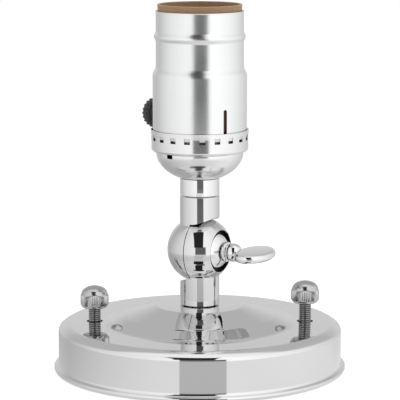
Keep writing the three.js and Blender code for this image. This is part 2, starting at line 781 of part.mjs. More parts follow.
// Lamp thread: rolled sheet, one wave for each turn, with a flange on the body
function makeScrewShell(foot) {
  const rise = lampSheet + lampThreadPitch / 4;
  const skin = (inset) => {
    const points = [];
    for (let i = 0; i < lampThreadTurns; i++) {
      const start = rise + lampThreadPitch * i;
      points.push([lampThreadRadius - lampThreadDepth - inset, start]);
      points.push([lampThreadRadius - inset, start + lampThreadPitch / 2]);
    }
    points.push([lampThreadRadius - lampThreadDepth - inset, rise + lampThreadPitch * lampThreadTurns]);
    return points;
  };
  const outer = skin(0);
  const inner = skin(lampSheet).reverse();
  const outline = [
    [lampFlangeInner, 0],
    [lampThreadRadius - lampThreadDepth, 0],
    ...outer,
    ...inner,
    [lampThreadRadius - lampThreadDepth - lampSheet, lampSheet],
    [lampFlangeInner, lampSheet],
  ];
  const rivetHole = rod(rivetShankRadius + gap, -overrun, overrun, threadTurn);
  const thread = turned(outline, bigTurn / 2)
    .subtract(rivetHole.translate([rivetPlace, 0, 0]))
    .subtract(rivetHole.translate([-rivetPlace, 0, 0]));
  const piece = pieceOf('screw_shell', thread, brass);
  piece.position.z = foot;
  return piece;
}

// Centre contact: a bent strip that rises to meet the lamp's tip
function makeCentreContact(foot) {
  const half = contactLength / 2;
  const line = [[-half, 0], [-half / 2, 0], [half / 4, contactRise], [half, contactRise]];
  const outline = [...line, ...line.map(([x, z]) => [x, z + contactSheet]).reverse()];
  const shape = new THREE.Shape(outline.map(([x, z]) => new THREE.Vector2(x, z)));
  const strip = new THREE.ExtrudeGeometry(shape, { depth: contactWidth, bevelEnabled: false });
  strip.translate(0, 0, -contactWidth / 2).rotateX(Math.PI / 2);
  const piece = pieceOf('centre_contact', solidOf(strip), brass);
  piece.position.z = foot;
  return piece;
}

function makeContactRivet(name, x, flangeTop) {
  const rivet = turned([
    [0, gap],
    [rivetRadius, gap],
    [rivetRadius, gap + rivetHeadHeight],
    [0, gap + rivetHeadHeight],
  ], threadTurn).add(rod(rivetShankRadius, -rivetShankLength + gap, 2 * gap, threadTurn));
  const piece = pieceOf(name, rivet, nickel);
  piece.position.set(x, 0, flangeTop);
  return piece;
}

// Switch shaft with its cam, along X from the socket's axis
function makeSwitchShaft() {
  const end = knobEnd - knobShaftCover - gap;
  const cam = block(camLength, camThickness, 2 * camRadius, shaftStart + camLength / 2, 0, 0);
  const round = rodAlongX(camRadius, shaftStart, shaftStart + camLength, smallTurn);
  const shaft = rodAlongX(shaftRadius, shaftStart, end, smallTurn);
  return pieceOf('switch_shaft', cam.intersect(round).add(shaft), zincSteel);
}

// Turn knob: a ribbed grip on a neck that narrows toward the shell
function makeTurnKnob() {
  const length = knobEnd - knobStart;
  const gripFoot = length - knobGripLength;
  const ribs = prism(ribbedOutline(knobRadius, knobRibDepth, knobRibs), gripFoot, length);
  const taper = turned([
    [0, gripFoot],
    [knobRadius - knobChamfer, gripFoot],
    [knobRadius + gap, gripFoot + knobChamfer + gap],
    [knobRadius + gap, length - knobChamfer - gap],
    [knobRadius - knobChamfer, length],
    [0, length],
  ], bigTurn / 2);
  const neck = turned([
    [0, 0],
    [knobNeckRadius, 0],
    [knobNeckTopRadius, gripFoot],
    [knobNeckTopRadius, gripFoot + gap],
    [0, gripFoot + gap],
  ], smallTurn);
  const bore = rod(shaftRadius + gap, -overrun, length - knobShaftCover, smallTurn);
  const knob = ribs.intersect(taper).add(neck).subtract(bore);
  const piece = pieceOf('turn_knob', knob, blackPhenolic);
  piece.rotation.y = Math.PI / 2;
  piece.position.x = knobStart;
  return piece;
}

// Assembly
const sconce = new THREE.Group();
sconce.add(makeCanopy(), makeCrossbar(), makeGroundScrew());
sconce.add(makeThumbScrew('thumb_screw_left', -screwPlace, leftRaise));
sconce.add(makeThumbScrew('thumb_screw_right', screwPlace, rightRaise));

const canopyUnderside = seatHeight - canopySheet;
const lockwasherFoot = canopyUnderside - gap - washerSheet;
const canopyNippleFoot = kneeFoot + nippleSeatDepth - gap - canopyNippleLength;
sconce.add(makeNipple('canopy_nipple', canopyNippleFoot, canopyNippleLength));
sconce.add(makeCanopyLockwasher(lockwasherFoot));
sconce.add(makeLocknut('canopy_locknut', canopyLocknutFlats, lockwasherFoot - gap - locknutHeight));

const swivel = new THREE.Group();
swivel.position.z = ballHeight;
swivel.rotation.z = swivelTurn * degree;
swivel.add(makeLowerKnuckle(), makeUpperKnuckle(), makeKeySpringWasher(), makeKeyWasher(), makeThumbKey());
sconce.add(swivel);

sconce.add(makeNeckCoupling());
const upperNippleFoot = neckFoot - nippleSeatDepth;
const upperNippleTop = capNutFoot + locknutHeight + nipplePastNut;
sconce.add(makeNipple('upper_nipple', upperNippleFoot, upperNippleTop - upperNippleFoot));
sconce.add(makeLocknut('cap_locknut', capNutFlats, capNutFoot));
sconce.add(makeSocketCap(), makeSocketShell(), makeInsulatingLiner(), makeSocketBody());

const bodyTop = bodyFoot() + bodyHeight;
sconce.add(makeTerminal('brass_terminal', 1, brass), makeTerminal('silver_terminal', -1, nickel));
sconce.add(makeTerminalScrew('brass_terminal_screw', 1, brass));
sconce.add(makeTerminalScrew('silver_terminal_screw', -1, nickel));
sconce.add(makeScrewShell(bodyTop + gap), makeCentreContact(bodyTop + gap));
sconce.add(makeContactRivet('contact_rivet_left', -rivetPlace, bodyTop + gap + lampSheet));
sconce.add(makeContactRivet('contact_rivet_right', rivetPlace, bodyTop + gap + lampSheet));
sconce.add(makeSwitchContact());

const knobAxis = new THREE.Group();
knobAxis.position.z = knobHeight;
knobAxis.rotation.z = knobTurn * degree;
knobAxis.add(makeSwitchShaft(), makeTurnKnob());
sconce.add(knobAxis);

export default sconce;
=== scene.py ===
import json
import math
import bpy
import bmesh
from mathutils import Matrix, Vector


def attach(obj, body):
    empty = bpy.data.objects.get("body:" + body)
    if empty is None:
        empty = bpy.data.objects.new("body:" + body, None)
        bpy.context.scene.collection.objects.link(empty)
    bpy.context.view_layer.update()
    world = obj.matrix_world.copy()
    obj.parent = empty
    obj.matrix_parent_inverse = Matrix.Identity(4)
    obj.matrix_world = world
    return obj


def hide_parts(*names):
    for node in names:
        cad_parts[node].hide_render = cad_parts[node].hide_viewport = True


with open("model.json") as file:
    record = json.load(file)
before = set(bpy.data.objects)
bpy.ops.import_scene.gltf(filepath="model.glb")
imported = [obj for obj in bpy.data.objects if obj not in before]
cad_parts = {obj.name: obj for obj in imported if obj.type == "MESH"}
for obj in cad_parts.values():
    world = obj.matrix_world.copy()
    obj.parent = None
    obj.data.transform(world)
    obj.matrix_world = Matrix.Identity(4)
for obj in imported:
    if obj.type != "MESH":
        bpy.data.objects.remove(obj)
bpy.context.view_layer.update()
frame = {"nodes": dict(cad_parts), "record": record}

mm = 0.001
sharpEdge = 32  # degrees between two faces that don't shade into each other


# Camera: the photograph was taken from about 0.85 m with a long lens, a little from above
camera = {
    "place": (0.08, -829.9, 201.5),  # mm
    "tiltDown": 9.225,  # degrees
    "lens": 194.4,  # mm on a 36 mm sensor
}


def makeCamera():
    data = bpy.data.cameras.new("photoCamera")
    data.lens = camera["lens"]
    data.sensor_width = 36
    data.clip_start = 0.05
    data.clip_end = 50
    eye = bpy.data.objects.new("photoCamera", data)
    eye.location = Vector(camera["place"]) * mm
    eye.rotation_euler = (math.radians(90 - camera["tiltDown"]), 0, 0)
    bpy.context.scene.collection.objects.link(eye)
    bpy.context.scene.camera = eye


makeCamera()
print("camera placed")


# Materials
def hexToLinear(code):
    channels = [int(code[i:i + 2], 16) / 255 for i in (1, 3, 5)]
    return [c / 12.92 if c <= 0.04045 else ((c + 0.055) / 1.055) ** 2.4 for c in channels] + [1]


def perMm(x, y, z):
    # Scale of a pattern for each millimetre: the smaller it is, the longer the pattern runs that way
    return [x / mm, y / mm, z / mm]


def addNode(tree, kind, inputs=None, feeds=None, **settings):
    # One node with its settings, the values and links that go into it, and the socket that it feeds
    node = tree.nodes.new(kind)
    for name, value in settings.items():
        setattr(node, name, value)
    for socket, value in (inputs or {}).items():
        if isinstance(value, bpy.types.NodeSocket):
            tree.links.new(value, node.inputs[socket])
        else:
            node.inputs[socket].default_value = value
    if feeds:
        tree.links.new(next(out for out in node.outputs if out.enabled), feeds)
    return node


def startMaterial(name, **sockets):
    # A material with its shader, the shader's own sockets, and the piece's coordinates
    material = bpy.data.materials.new(name)
    material.use_nodes = True
    tree = material.node_tree
    tree.nodes.clear()
    shader = addNode(tree, "ShaderNodeBsdfPrincipled", {k.replace("_", " "): v for k, v in sockets.items()})
    addNode(tree, "ShaderNodeOutputMaterial", {"Surface": shader.outputs[0]})
    where = addNode(tree, "ShaderNodeTexCoord").outputs["Object"]
    return material, tree, shader.inputs, where


def buffedChrome(name, colour):
    # Chromium over polished nickel: a mirror, with the faint waviness of buffed metal beneath
    material, tree, shader, where = startMaterial(name, Metallic=1, Base_Color=hexToLinear(colour))
    waves = addNode(tree, "ShaderNodeTexNoise", {"Vector": where, "Scale": 0.12 / mm, "Detail": 1.0})
    smear = addNode(tree, "ShaderNodeTexNoise", {"Vector": where, "Scale": 0.3 / mm, "Detail": 4.0})
    addNode(tree, "ShaderNodeBump", {"Height": waves.outputs["Fac"], "Strength": 1.0, "Distance": 0.02 * mm},
            shader["Normal"])
    addNode(tree, "ShaderNodeMapRange", {"Value": smear.outputs["Fac"], "To Min": 0.02, "To Max": 0.05},
            shader["Roughness"])
    return material


def polishedChromePlate():
    # Buffed brass or steel under the plate: the brightest of the mirrors
    return buffedChrome("polishedChromePlate", "#e9e9e9")


def platedZincCasting():
    # The same plate over a zinc casting is thinner, and so a little greyer
    return buffedChrome("platedZincCasting", "#dadadb")


def spunChromePlate():
    # The canopy is spun on a lathe before plating, which leaves shallow rings round its axis
    material, tree, shader, where = startMaterial("spunChromePlate", Metallic=1,
                                                  Base_Color=hexToLinear("#e4e4e4"))
    flat = addNode(tree, "ShaderNodeVectorMath", {0: where, 1: (1, 1, 0)}, operation="MULTIPLY")
    radius = addNode(tree, "ShaderNodeVectorMath", {0: flat.outputs[0]}, operation="LENGTH")
    rings = addNode(tree, "ShaderNodeTexNoise", {"W": radius.outputs["Value"], "Scale": 0.35 / mm,
                                                 "Detail": 2.0}, noise_dimensions="1D")
    place = addNode(tree, "ShaderNodeMapping", {"Vector": where, "Scale": perMm(0.08, 0.08, 0.2)})
    smear = addNode(tree, "ShaderNodeTexNoise", {"Vector": place.outputs[0], "Scale": 1.0, "Detail": 5.0})
    addNode(tree, "ShaderNodeBump", {"Height": rings.outputs["Fac"], "Strength": 1.0, "Distance": 0.008 * mm},
            shader["Normal"])
    addNode(tree, "ShaderNodeMapRange", {"Value": smear.outputs["Fac"], "To Min": 0.025, "To Max": 0.05},
            shader["Roughness"])
    return material


def knurledChromePlate():
    # Chromium straight over knurled steel, not buffed first: greyer and softer than the canopy
    material, tree, shader, where = startMaterial("knurledChromePlate", Metallic=1,
                                                  Base_Color=hexToLinear("#c2c2c2"))
    grain = addNode(tree, "ShaderNodeTexNoise", {"Vector": where, "Scale": 0.8 / mm, "Detail": 4.0})
    addNode(tree, "ShaderNodeMapRange", {"Value": grain.outputs["Fac"], "To Min": 0.1, "To Max": 0.24},
            shader["Roughness"])
    addNode(tree, "ShaderNodeBump", {"Height": grain.outputs["Fac"], "Strength": 1.0, "Distance": 0.01 * mm},
            shader["Normal"])
    return material


def rolledThreadSteel():
    # Oiled steel of a rolled thread: grey, darkened partly as painted shade for the dark room that the thread
    # mirrors, with short glints on the crests
    material, tree, shader, where = startMaterial("rolledThreadSteel", Metallic=1)
    oil = addNode(tree, "ShaderNodeTexNoise", {"Vector": where, "Scale": 0.5 / mm, "Detail": 4.0})
    addNode(tree, "ShaderNodeMix", {"Factor": oil.outputs["Fac"], "A": hexToLinear("#7c7c7c"),
                                    "B": hexToLinear("#b4b4b4")}, shader["Base Color"], data_type="RGBA")
    addNode(tree, "ShaderNodeMapRange", {"Value": oil.outputs["Fac"], "To Min": 0.2, "To Max": 0.42},
            shader["Roughness"])
    return material


def thinPlatedSteel():
    # Inside of a plated pan, where little chromium reaches: dark grey and dull
    material, tree, shader, where = startMaterial("thinPlatedSteel", Metallic=1,
                                                  Base_Color=hexToLinear("#5f6163"))
    stain = addNode(tree, "ShaderNodeTexNoise", {"Vector": where, "Scale": 0.1 / mm, "Detail": 5.0})
    addNode(tree, "ShaderNodeMapRange", {"Value": stain.outputs["Fac"], "To Min": 0.4, "To Max": 0.7},
            shader["Roughness"])
    return material


def shadedRecessZinc():
    # Recess of the die casting, painted nearly black as the shade that falls in it round the washer, half
    # matt
    material, tree, shader, where = startMaterial("shadedRecessZinc", Metallic=1,
                                                  Base_Color=hexToLinear("#3b3c3e"))
    grain = addNode(tree, "ShaderNodeTexNoise", {"Vector": where, "Scale": 1 / mm, "Detail": 3.0})
    addNode(tree, "ShaderNodeMapRange", {"Value": grain.outputs["Fac"], "To Min": 0.3, "To Max": 0.5},
            shader["Roughness"])
    return material


def aluminiumSheet(name, colour, dullest, brightest, lineDepth):
    # Lines from the lathe run round the sheet, 0.3 mm apart, over larger patches of handling
    material, tree, shader, where = startMaterial(name, Metallic=1, Base_Color=hexToLinear(colour))
    bands = addNode(tree, "ShaderNodeMapping", {"Vector": where, "Scale": perMm(0.06, 0.06, 3)})
    lines = addNode(tree, "ShaderNodeTexNoise", {"Vector": bands.outputs[0], "Scale": 1.0, "Detail": 3.0})
    patches = addNode(tree, "ShaderNodeTexNoise", {"Vector": where, "Scale": 0.15 / mm, "Detail": 5.0,
                                                   "Roughness": 0.6})
    mixed = addNode(tree, "ShaderNodeMix", {"Factor": 0.4, "A": lines.outputs["Fac"],
                                            "B": patches.outputs["Fac"]})
    addNode(tree, "ShaderNodeBump", {"Height": lines.outputs["Fac"], "Strength": 1.0,
                                     "Distance": lineDepth * mm}, shader["Normal"])
    addNode(tree, "ShaderNodeMapRange", {"Value": mixed.outputs[0], "To Min": brightest, "To Max": dullest},
            shader["Roughness"])
    return material


def satinAluminium():
    # Drawn aluminium shell, rubbed with fine abrasive as it turns: a soft silver that blurs what it shows
    return aluminiumSheet("satinAluminium", "#eff0f0", 0.34, 0.14, 0.005)


def burnishedAluminium():
    # The cap is burnished against a roller, so it shows crisper edges than the shell
    return aluminiumSheet("burnishedAluminium", "#ebebeb", 0.24, 0.1, 0.003)


def shadedEntryAluminium():
    # Where the cap covers it: a dull dark grey, painted as the shade in the narrow gap behind the cap's tabs
    return aluminiumSheet("shadedEntryAluminium", "#77777a", 0.6, 0.45, 0.005)


def zincPlatedSteel():
    # Bright zinc over pressed steel: grey, half matt, with a fine crystal mottle
    material, tree, shader, where = startMaterial("zincPlatedSteel", Metallic=1,
                                                  Base_Color=hexToLinear("#b4b8ba"))
    grain = addNode(tree, "ShaderNodeTexNoise", {"Vector": where, "Scale": 1.2 / mm, "Detail": 4.0})
    addNode(tree, "ShaderNodeMapRange", {"Value": grain.outputs["Fac"], "To Min": 0.25, "To Max": 0.5},
            shader["Roughness"])
    addNode(tree, "ShaderNodeBump", {"Height": grain.outputs["Fac"], "Strength": 1.0, "Distance": 0.01 * mm},
            shader["Normal"])
    return material


def rolledBrass():
    # Half-hard brass sheet: warm yellow, slightly dulled where it was handled
    material, tree, shader, where = startMaterial("rolledBrass", Metallic=1)
    place = addNode(tree, "ShaderNodeMapping", {"Vector": where, "Scale": perMm(0.25, 0.25, 0.6)})
    dulling = addNode(tree, "ShaderNodeTexNoise", {"Vector": place.outputs[0], "Scale": 1.0, "Detail": 4.0})
    addNode(tree, "ShaderNodeMix", {"Factor": dulling.outputs["Fac"], "A": hexToLinear("#dcb96f"),
                                    "B": hexToLinear("#b08d4e")}, shader["Base Color"], data_type="RGBA")
    addNode(tree, "ShaderNodeMapRange", {"Value": dulling.outputs["Fac"], "To Min": 0.2, "To Max": 0.4},
            shader["Roughness"])
    return material


def platedNickel():
    # Barrel-plated nickel: a warm silver, with soft edges to its reflections
    material, tree, shader, where = startMaterial("platedNickel", Metallic=1,
                                                  Base_Color=hexToLinear("#c9c5bc"))
    grain = addNode(tree, "ShaderNodeTexNoise", {"Vector": where, "Scale": 1.5 / mm, "Detail": 3.0})
    addNode(tree, "ShaderNodeMapRange", {"Value": grain.outputs["Fac"], "To Min": 0.18, "To Max": 0.35},
            shader["Roughness"])
    return material


def greenLacquer():
    # Dyed clear lacquer on a steel screw head: the metal glints through the green
    material, tree, shader, where = startMaterial("greenLacquer", Metallic=0.7, Roughness=0.35,
                                                  Coat_Weight=0.5)
    cover = addNode(tree, "ShaderNodeTexNoise", {"Vector": where, "Scale": 0.8 / mm, "Detail": 3.0})
    addNode(tree, "ShaderNodeMix", {"Factor": cover.outputs["Fac"], "A": hexToLinear("#237a40"),
                                    "B": hexToLinear("#4a9d63")}, shader["Base Color"], data_type="RGBA")
    return material


def mouldedPhenolic():
    # Black phenolic from a steel mould: a dull skin with faint flow marks
    material, tree, shader, where = startMaterial("mouldedPhenolic", IOR=1.6)
    flow = addNode(tree, "ShaderNodeTexNoise", {"Vector": where, "Scale": 0.5 / mm, "Detail": 5.0})
    addNode(tree, "ShaderNodeMix", {"Factor": flow.outputs["Fac"], "A": hexToLinear("#141312"),
                                    "B": hexToLinear("#262422")}, shader["Base Color"], data_type="RGBA")
    addNode(tree, "ShaderNodeMapRange", {"Value": flow.outputs["Fac"], "To Min": 0.33, "To Max": 0.55},
            shader["Roughness"])
    addNode(tree, "ShaderNodeBump", {"Height": flow.outputs["Fac"], "Strength": 1.0, "Distance": 0.02 * mm},
            shader["Normal"])
    return material


def shadedFibre():
    # The same fibre inside the shell, painted dark brown as the shade it lies in there, with a dull shine
    material, tree, shader, where = startMaterial("shadedFibre", Roughness=0.5, IOR=1.5)
    place = addNode(tree, "ShaderNodeMapping", {"Vector": where, "Scale": perMm(0.3, 0.3, 0.1)})
    runs = addNode(tree, "ShaderNodeTexNoise", {"Vector": place.outputs[0], "Scale": 1.0, "Detail": 4.0})
    addNode(tree, "ShaderNodeMix", {"Factor": runs.outputs["Fac"], "A": hexToLinear("#3a2618"),
                                    "B": hexToLinear("#5f452f")}, shader["Base Color"], data_type="RGBA")
    return material


def rolledFibre():
    # Vulcanised fibre paper rolled into a tube: calendered tan with a low sheen, and long fibres round it
    material, tree, shader, where = startMaterial("rolledFibre", Roughness=0.5, IOR=1.52)
    bands = addNode(tree, "ShaderNodeMapping", {"Vector": where, "Scale": perMm(0.35, 0.35, 2.4)})
    fibres = addNode(tree, "ShaderNodeTexNoise", {"Vector": bands.outputs[0], "Scale": 1.0, "Detail": 6.0,
                                                  "Roughness": 0.65})
    addNode(tree, "ShaderNodeMix", {"Factor": fibres.outputs["Fac"], "A": hexToLinear("#8c684a"),
                                    "B": hexToLinear("#bd9a76")}, shader["Base Color"], data_type="RGBA")
    addNode(tree, "ShaderNodeBump", {"Height": fibres.outputs["Fac"], "Strength": 1.0, "Distance": 0.05 * mm},
            shader["Normal"])
    return material


def cutFibreHighlight():
    # Sheared edge of the tube: dry and open, and paler, partly as cut fibre and partly as a painted highlight
    # where the top catches the light
    material, tree, shader, where = startMaterial("cutFibreHighlight", Roughness=0.9, IOR=1.4)
    place = addNode(tree, "ShaderNodeMapping", {"Vector": where, "Scale": perMm(1.5, 1.5, 4)})
    fibres = addNode(tree, "ShaderNodeTexNoise", {"Vector": place.outputs[0], "Scale": 1.0, "Detail": 4.0})
    addNode(tree, "ShaderNodeMix", {"Factor": fibres.outputs["Fac"], "A": hexToLinear("#b8926c"),
                                    "B": hexToLinear("#e0c3a2")}, shader["Base Color"], data_type="RGBA")
    return material


finishes = {
    "chrome": polishedChromePlate(),
    "castChrome": platedZincCasting(),
    "spunChrome": spunChromePlate(),
    "knurledChrome": knurledChromePlate(),
    "dullPlate": thinPlatedSteel(),
    "screwSteel": rolledThreadSteel(),
    "recessShadeCasting": shadedRecessZinc(),
    "burnishedAluminium": burnishedAluminium(),
    "shadedEntryAluminium": shadedEntryAluminium(),
    "shadedFibre": shadedFibre(),
    "cutFibreHighlight": cutFibreHighlight(),
    "satin_aluminium": satinAluminium(),
    "zinc_steel": zincPlatedSteel(),
    "brass": rolledBrass(),
    "nickel": platedNickel(),
    "green_steel": greenLacquer(),
    "black_phenolic": mouldedPhenolic(),
    "tan_fibre": rolledFibre(),
}
print("materials made")


# Making pieces
def arcPoints(centreX, centreY, radiusX, radiusY, start, end, steps=8):
    angles = [math.radians(start + (end - start) * i / steps) for i in range(steps + 1)]
    return [(centreX + radiusX * math.cos(a), centreY + radiusY * math.sin(a)) for a in angles]


def bendPoints(first, corner, last, steps=8):
    # A smooth bend from first to last that leaves both toward the corner
    points = []
    for i in range(steps + 1):
        t = i / steps
        points.append(tuple((1 - t) ** 2 * a + 2 * t * (1 - t) * b + t * t * c
                            for a, b, c in zip(first, corner, last)))
    return points


def spun(outline, steps):
    # A profile of (radius, height) pairs in millimetres, spun about Z: open at the axis, or a closed loop
    mesh = bmesh.new()
    points = [mesh.verts.new((radius * mm, 0, height * mm)) for radius, height in outline]
    edges = [mesh.edges.new(pair) for pair in zip(points, points[1:])]
    if outline[0][0] > 0 and outline[-1][0] > 0:
        edges.append(mesh.edges.new((points[-1], points[0])))
    bmesh.ops.spin(mesh, geom=points + edges, cent=(0, 0, 0), axis=(0, 0, 1), dvec=(0, 0, 0),
                   angle=math.tau, steps=steps, use_merge=True)
    bmesh.ops.remove_doubles(mesh, verts=mesh.verts, dist=0.0005 * mm)
    bmesh.ops.recalc_face_normals(mesh, faces=mesh.faces)
    return mesh


def shift(x=0, y=0, z=0):
    return Matrix.Translation((x * mm, y * mm, z * mm))


def turn(degrees, axis="Z"):
    return Matrix.Rotation(math.radians(degrees), 4, axis)


def placed(mesh, matrix):
    # A loose mesh, moved as the matrix says
    bmesh.ops.transform(mesh, matrix=matrix, verts=mesh.verts)
    return mesh


def rod(radius, start, end, sides):
    # A rod along Z from start to end
    mesh = bmesh.new()
    bmesh.ops.create_cone(mesh, cap_ends=True, segments=sides, radius1=radius * mm, radius2=radius * mm,
                          depth=(end - start) * mm, matrix=shift(z=(start + end) / 2))
    return mesh


def slab(lengthX, lengthY, lengthZ, x=0, y=0, z=0):
    # A block with its middle at the place given
    mesh = bmesh.new()
    size = Matrix.Diagonal((lengthX * mm, lengthY * mm, lengthZ * mm, 1))
    bmesh.ops.create_cube(mesh, size=1, matrix=shift(x, y, z) @ size)
    return mesh


def asObject(name, mesh):
    data = bpy.data.meshes.new(name)
    mesh.to_mesh(data)
    mesh.free()
    piece = bpy.data.objects.new(name, data)
    bpy.context.scene.collection.objects.link(piece)
    return piece


def combined(piece, others, operation):
    # Joins or cuts a piece with other closed meshes, one after another
    for other in others:
        tool = asObject("cuttingTool", other)
        modifier = piece.modifiers.new("combine", "BOOLEAN")
        modifier.operation = operation
        modifier.solver = "EXACT"
        modifier.object = tool
        bpy.context.view_layer.update()
        whole = piece.evaluated_get(bpy.context.evaluated_depsgraph_get())
        data = bpy.data.meshes.new_from_object(whole)
        data.validate()
        piece.modifiers.clear()
        piece.data = data
        bpy.data.objects.remove(tool)
    return piece


def finished(piece, body, finish, nodes):
    # Gives a piece its finish, the body it rides on, its slot, and the solids that it stands for
    piece.data.materials.clear()
    piece.data.materials.append(finishes[finish])
    piece.data.shade_smooth()
    piece.data.set_sharp_from_angle(angle=math.radians(sharpEdge))
    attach(piece, body)
    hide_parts(*nodes)
    return piece


def partly(piece, finish, chosen):
    # Gives another finish to the faces that are chosen by their middle, in millimetres, and direction
    piece.data.materials.append(finishes[finish])
    for face in piece.data.polygons:
        if chosen(face.center / mm, face.normal):
            face.material_index = len(piece.data.materials) - 1
    return piece


# Canopy, spun from sheet
canopy = {
    "rimRadius": 57.15,
    "rimFlatRadius": 56.0,
    "rimWidestHeight": 1.2,
    "rimTop": 2.15,
    "rimFillet": 1.35,
    "wallRadius": 55.4,
    "sheet": 1.0,
    "rimStep": 0.9,
    "wallTop": 15.2,
    "shoulderStart": 16.4,
    "shoulderMiddle": (54.75, 16.9),
    "shoulderEnd": 52.6,
    "flatEdge": 50.9,
    "ringHeight": 18.6,
    "cornerRadius": 3.7,
    "domeFoot": (36.88, 18.6),
    "domeEdge": (30.38, 21.55),
    "domeMiddle": (23.8, 23.35),
    "seat": (17.2, 25.4),
    "footBend": 1.5,
    "creaseShare": 0.17,  # of the flank, that the crease at its top bends
    "footRiseShare": 1.35,  # of the crease's bend, that the bend at the foot goes up the flank
    "slopeShare": 0.07,  # of the slope's first half, that the crease bends
    "seatBend": 0.5,
    "nippleHole": 5.35,
    "screwSpacing": 82.55,
    "screwHole": 3.2,
    "dullAbove": 3,  # inner faces higher than this are dull
    "wallCorner": 16,
}


def makeCanopy():
    c = canopy
    wall, sheet, corner = c["wallRadius"], c["sheet"], c["cornerRadius"]
    ring, rimTop = c["ringHeight"], c["rimTop"]
    foot, edge, middle, seat = c["domeFoot"], c["domeEdge"], c["domeMiddle"], c["seat"]
    across, up = ((edge[i] - foot[i]) * c["creaseShare"] for i in (0, 1))
    outer = tuple(edge[i] + (middle[i] - edge[i]) * c["slopeShare"] for i in (0, 1))
    bend, climb = c["seatBend"], c["footRiseShare"]
    inner = (seat[0] + bend, seat[1] - bend * (seat[1] - middle[1]) / (middle[0] - seat[0]))
    dome = (bendPoints((foot[0] + c["footBend"], foot[1]), foot,
                       (foot[0] + climb * across, foot[1] + climb * up))
            + bendPoints((edge[0] - across, edge[1] - up), edge, outer)
            + bendPoints(outer, middle, inner, 14)[1:]
            + bendPoints(inner, seat, (seat[0] - bend, seat[1]), 4)[1:])
    inside = [(r, z - sheet) for r, z in dome]
    rim, step = c["rimRadius"], wall + c["rimStep"]
    outline = (
        [(wall - sheet, 0)]
        + arcPoints(c["rimFlatRadius"], c["rimWidestHeight"], rim - c["rimFlatRadius"], c["rimWidestHeight"],
                    -90, 0)
        + bendPoints((rim, c["rimWidestHeight"]), (rim, rimTop - 0.05), (step, rimTop))[1:]
        + bendPoints((step, rimTop), (wall, rimTop + 0.05), (wall, rimTop + c["rimFillet"]))[1:]
        + bendPoints((wall, c["wallTop"]), (wall, c["shoulderStart"]), c["shoulderMiddle"], 12)
        + bendPoints(c["shoulderMiddle"], (c["shoulderEnd"], ring), (c["flatEdge"], ring), 16)[1:]
        + dome
        + [(c["nippleHole"], seat[1]), (c["nippleHole"], seat[1] - sheet)]
        + inside[::-1]
        + arcPoints(wall - corner, ring - corner, corner - sheet, corner - sheet, 90, 0)
    )
    piece = asObject("canopyShell", spun(outline, 288))
    place = c["screwSpacing"] / 2
    holes = [placed(rod(c["screwHole"], 12, 24, 64), shift(side * place)) for side in (-1, 1)]
    combined(piece, holes, "DIFFERENCE")
    finished(piece, "base", "spunChrome", ["canopy"])

    def hidden(spot, facing):
        fromScrew = Vector((abs(spot.x) - place, spot.y)).length
        underside = facing.z < -0.3 and spot.z > c["dullAbove"]
        innerWall = spot.z < c["wallCorner"] and spot.xy.length < wall - sheet / 2
        holeWall = abs(facing.z) < 0.5 and abs(fromScrew - c["screwHole"]) < 0.2
        return underside or innerWall or holeWall
    return partly(piece, "dullPlate", hidden)


makeCanopy()
print("canopy made")


# Thumb screws
thumbScrew = {
    "headRadius": 5.52,
    "domeHeight": 3.2,
    "knurlHeight": 4.5,
    "domeStart": 4,  # degrees
    "chamfer": 1.0,
    "footEdge": 0.2,
    "ribRunIn": 0.3,  # from the chamfer to the full height of a rib
    "ribRunOut": 0.7,
    "ribs": 45,
    "ribDepth": 0.36,
    "threadRadius": 2.4,
    "threadDepth": 0.45,
    "pitch": 0.794,
    "length": 18,
    "raise": {"Left": 5.5, "Right": 7.5},
}


def threadedRod(radius, depth, pitch, length, sides=32):
    # A helix of ridges about Z from -length to 0, cut square at both ends
    turns = math.ceil(length / pitch) + 2
    mesh = bmesh.new()
    start = -length - pitch
    ridge = ((depth, 0), (depth, 0.12), (0, 0.38), (0, 0.74), (depth, 1))  # depth, and share of the pitch
    points = [mesh.verts.new(((radius - d) * mm, 0, (start + share * pitch) * mm)) for d, share in ridge]
    edges = [mesh.edges.new(pair) for pair in zip(points, points[1:])]
    bmesh.ops.spin(mesh, geom=points + edges, cent=(0, 0, 0), axis=(0, 0, 1),
                   dvec=(0, 0, pitch / sides * mm), angle=math.tau * turns, steps=sides * turns)
    bmesh.ops.remove_doubles(mesh, verts=mesh.verts, dist=0.002 * mm)
    for height, way in ((-length, -1), (0, 1)):
        every = mesh.verts[:] + mesh.edges[:] + mesh.faces[:]
        cut = bmesh.ops.bisect_plane(mesh, geom=every, plane_co=(0, 0, height * mm), plane_no=(0, 0, way),
                                     clear_outer=True)
        rim = [e for e in cut["geom_cut"] if isinstance(e, bmesh.types.BMEdge)]
        bmesh.ops.contextual_create(mesh, geom=rim)
    bmesh.ops.recalc_face_normals(mesh, faces=mesh.faces)
    return mesh


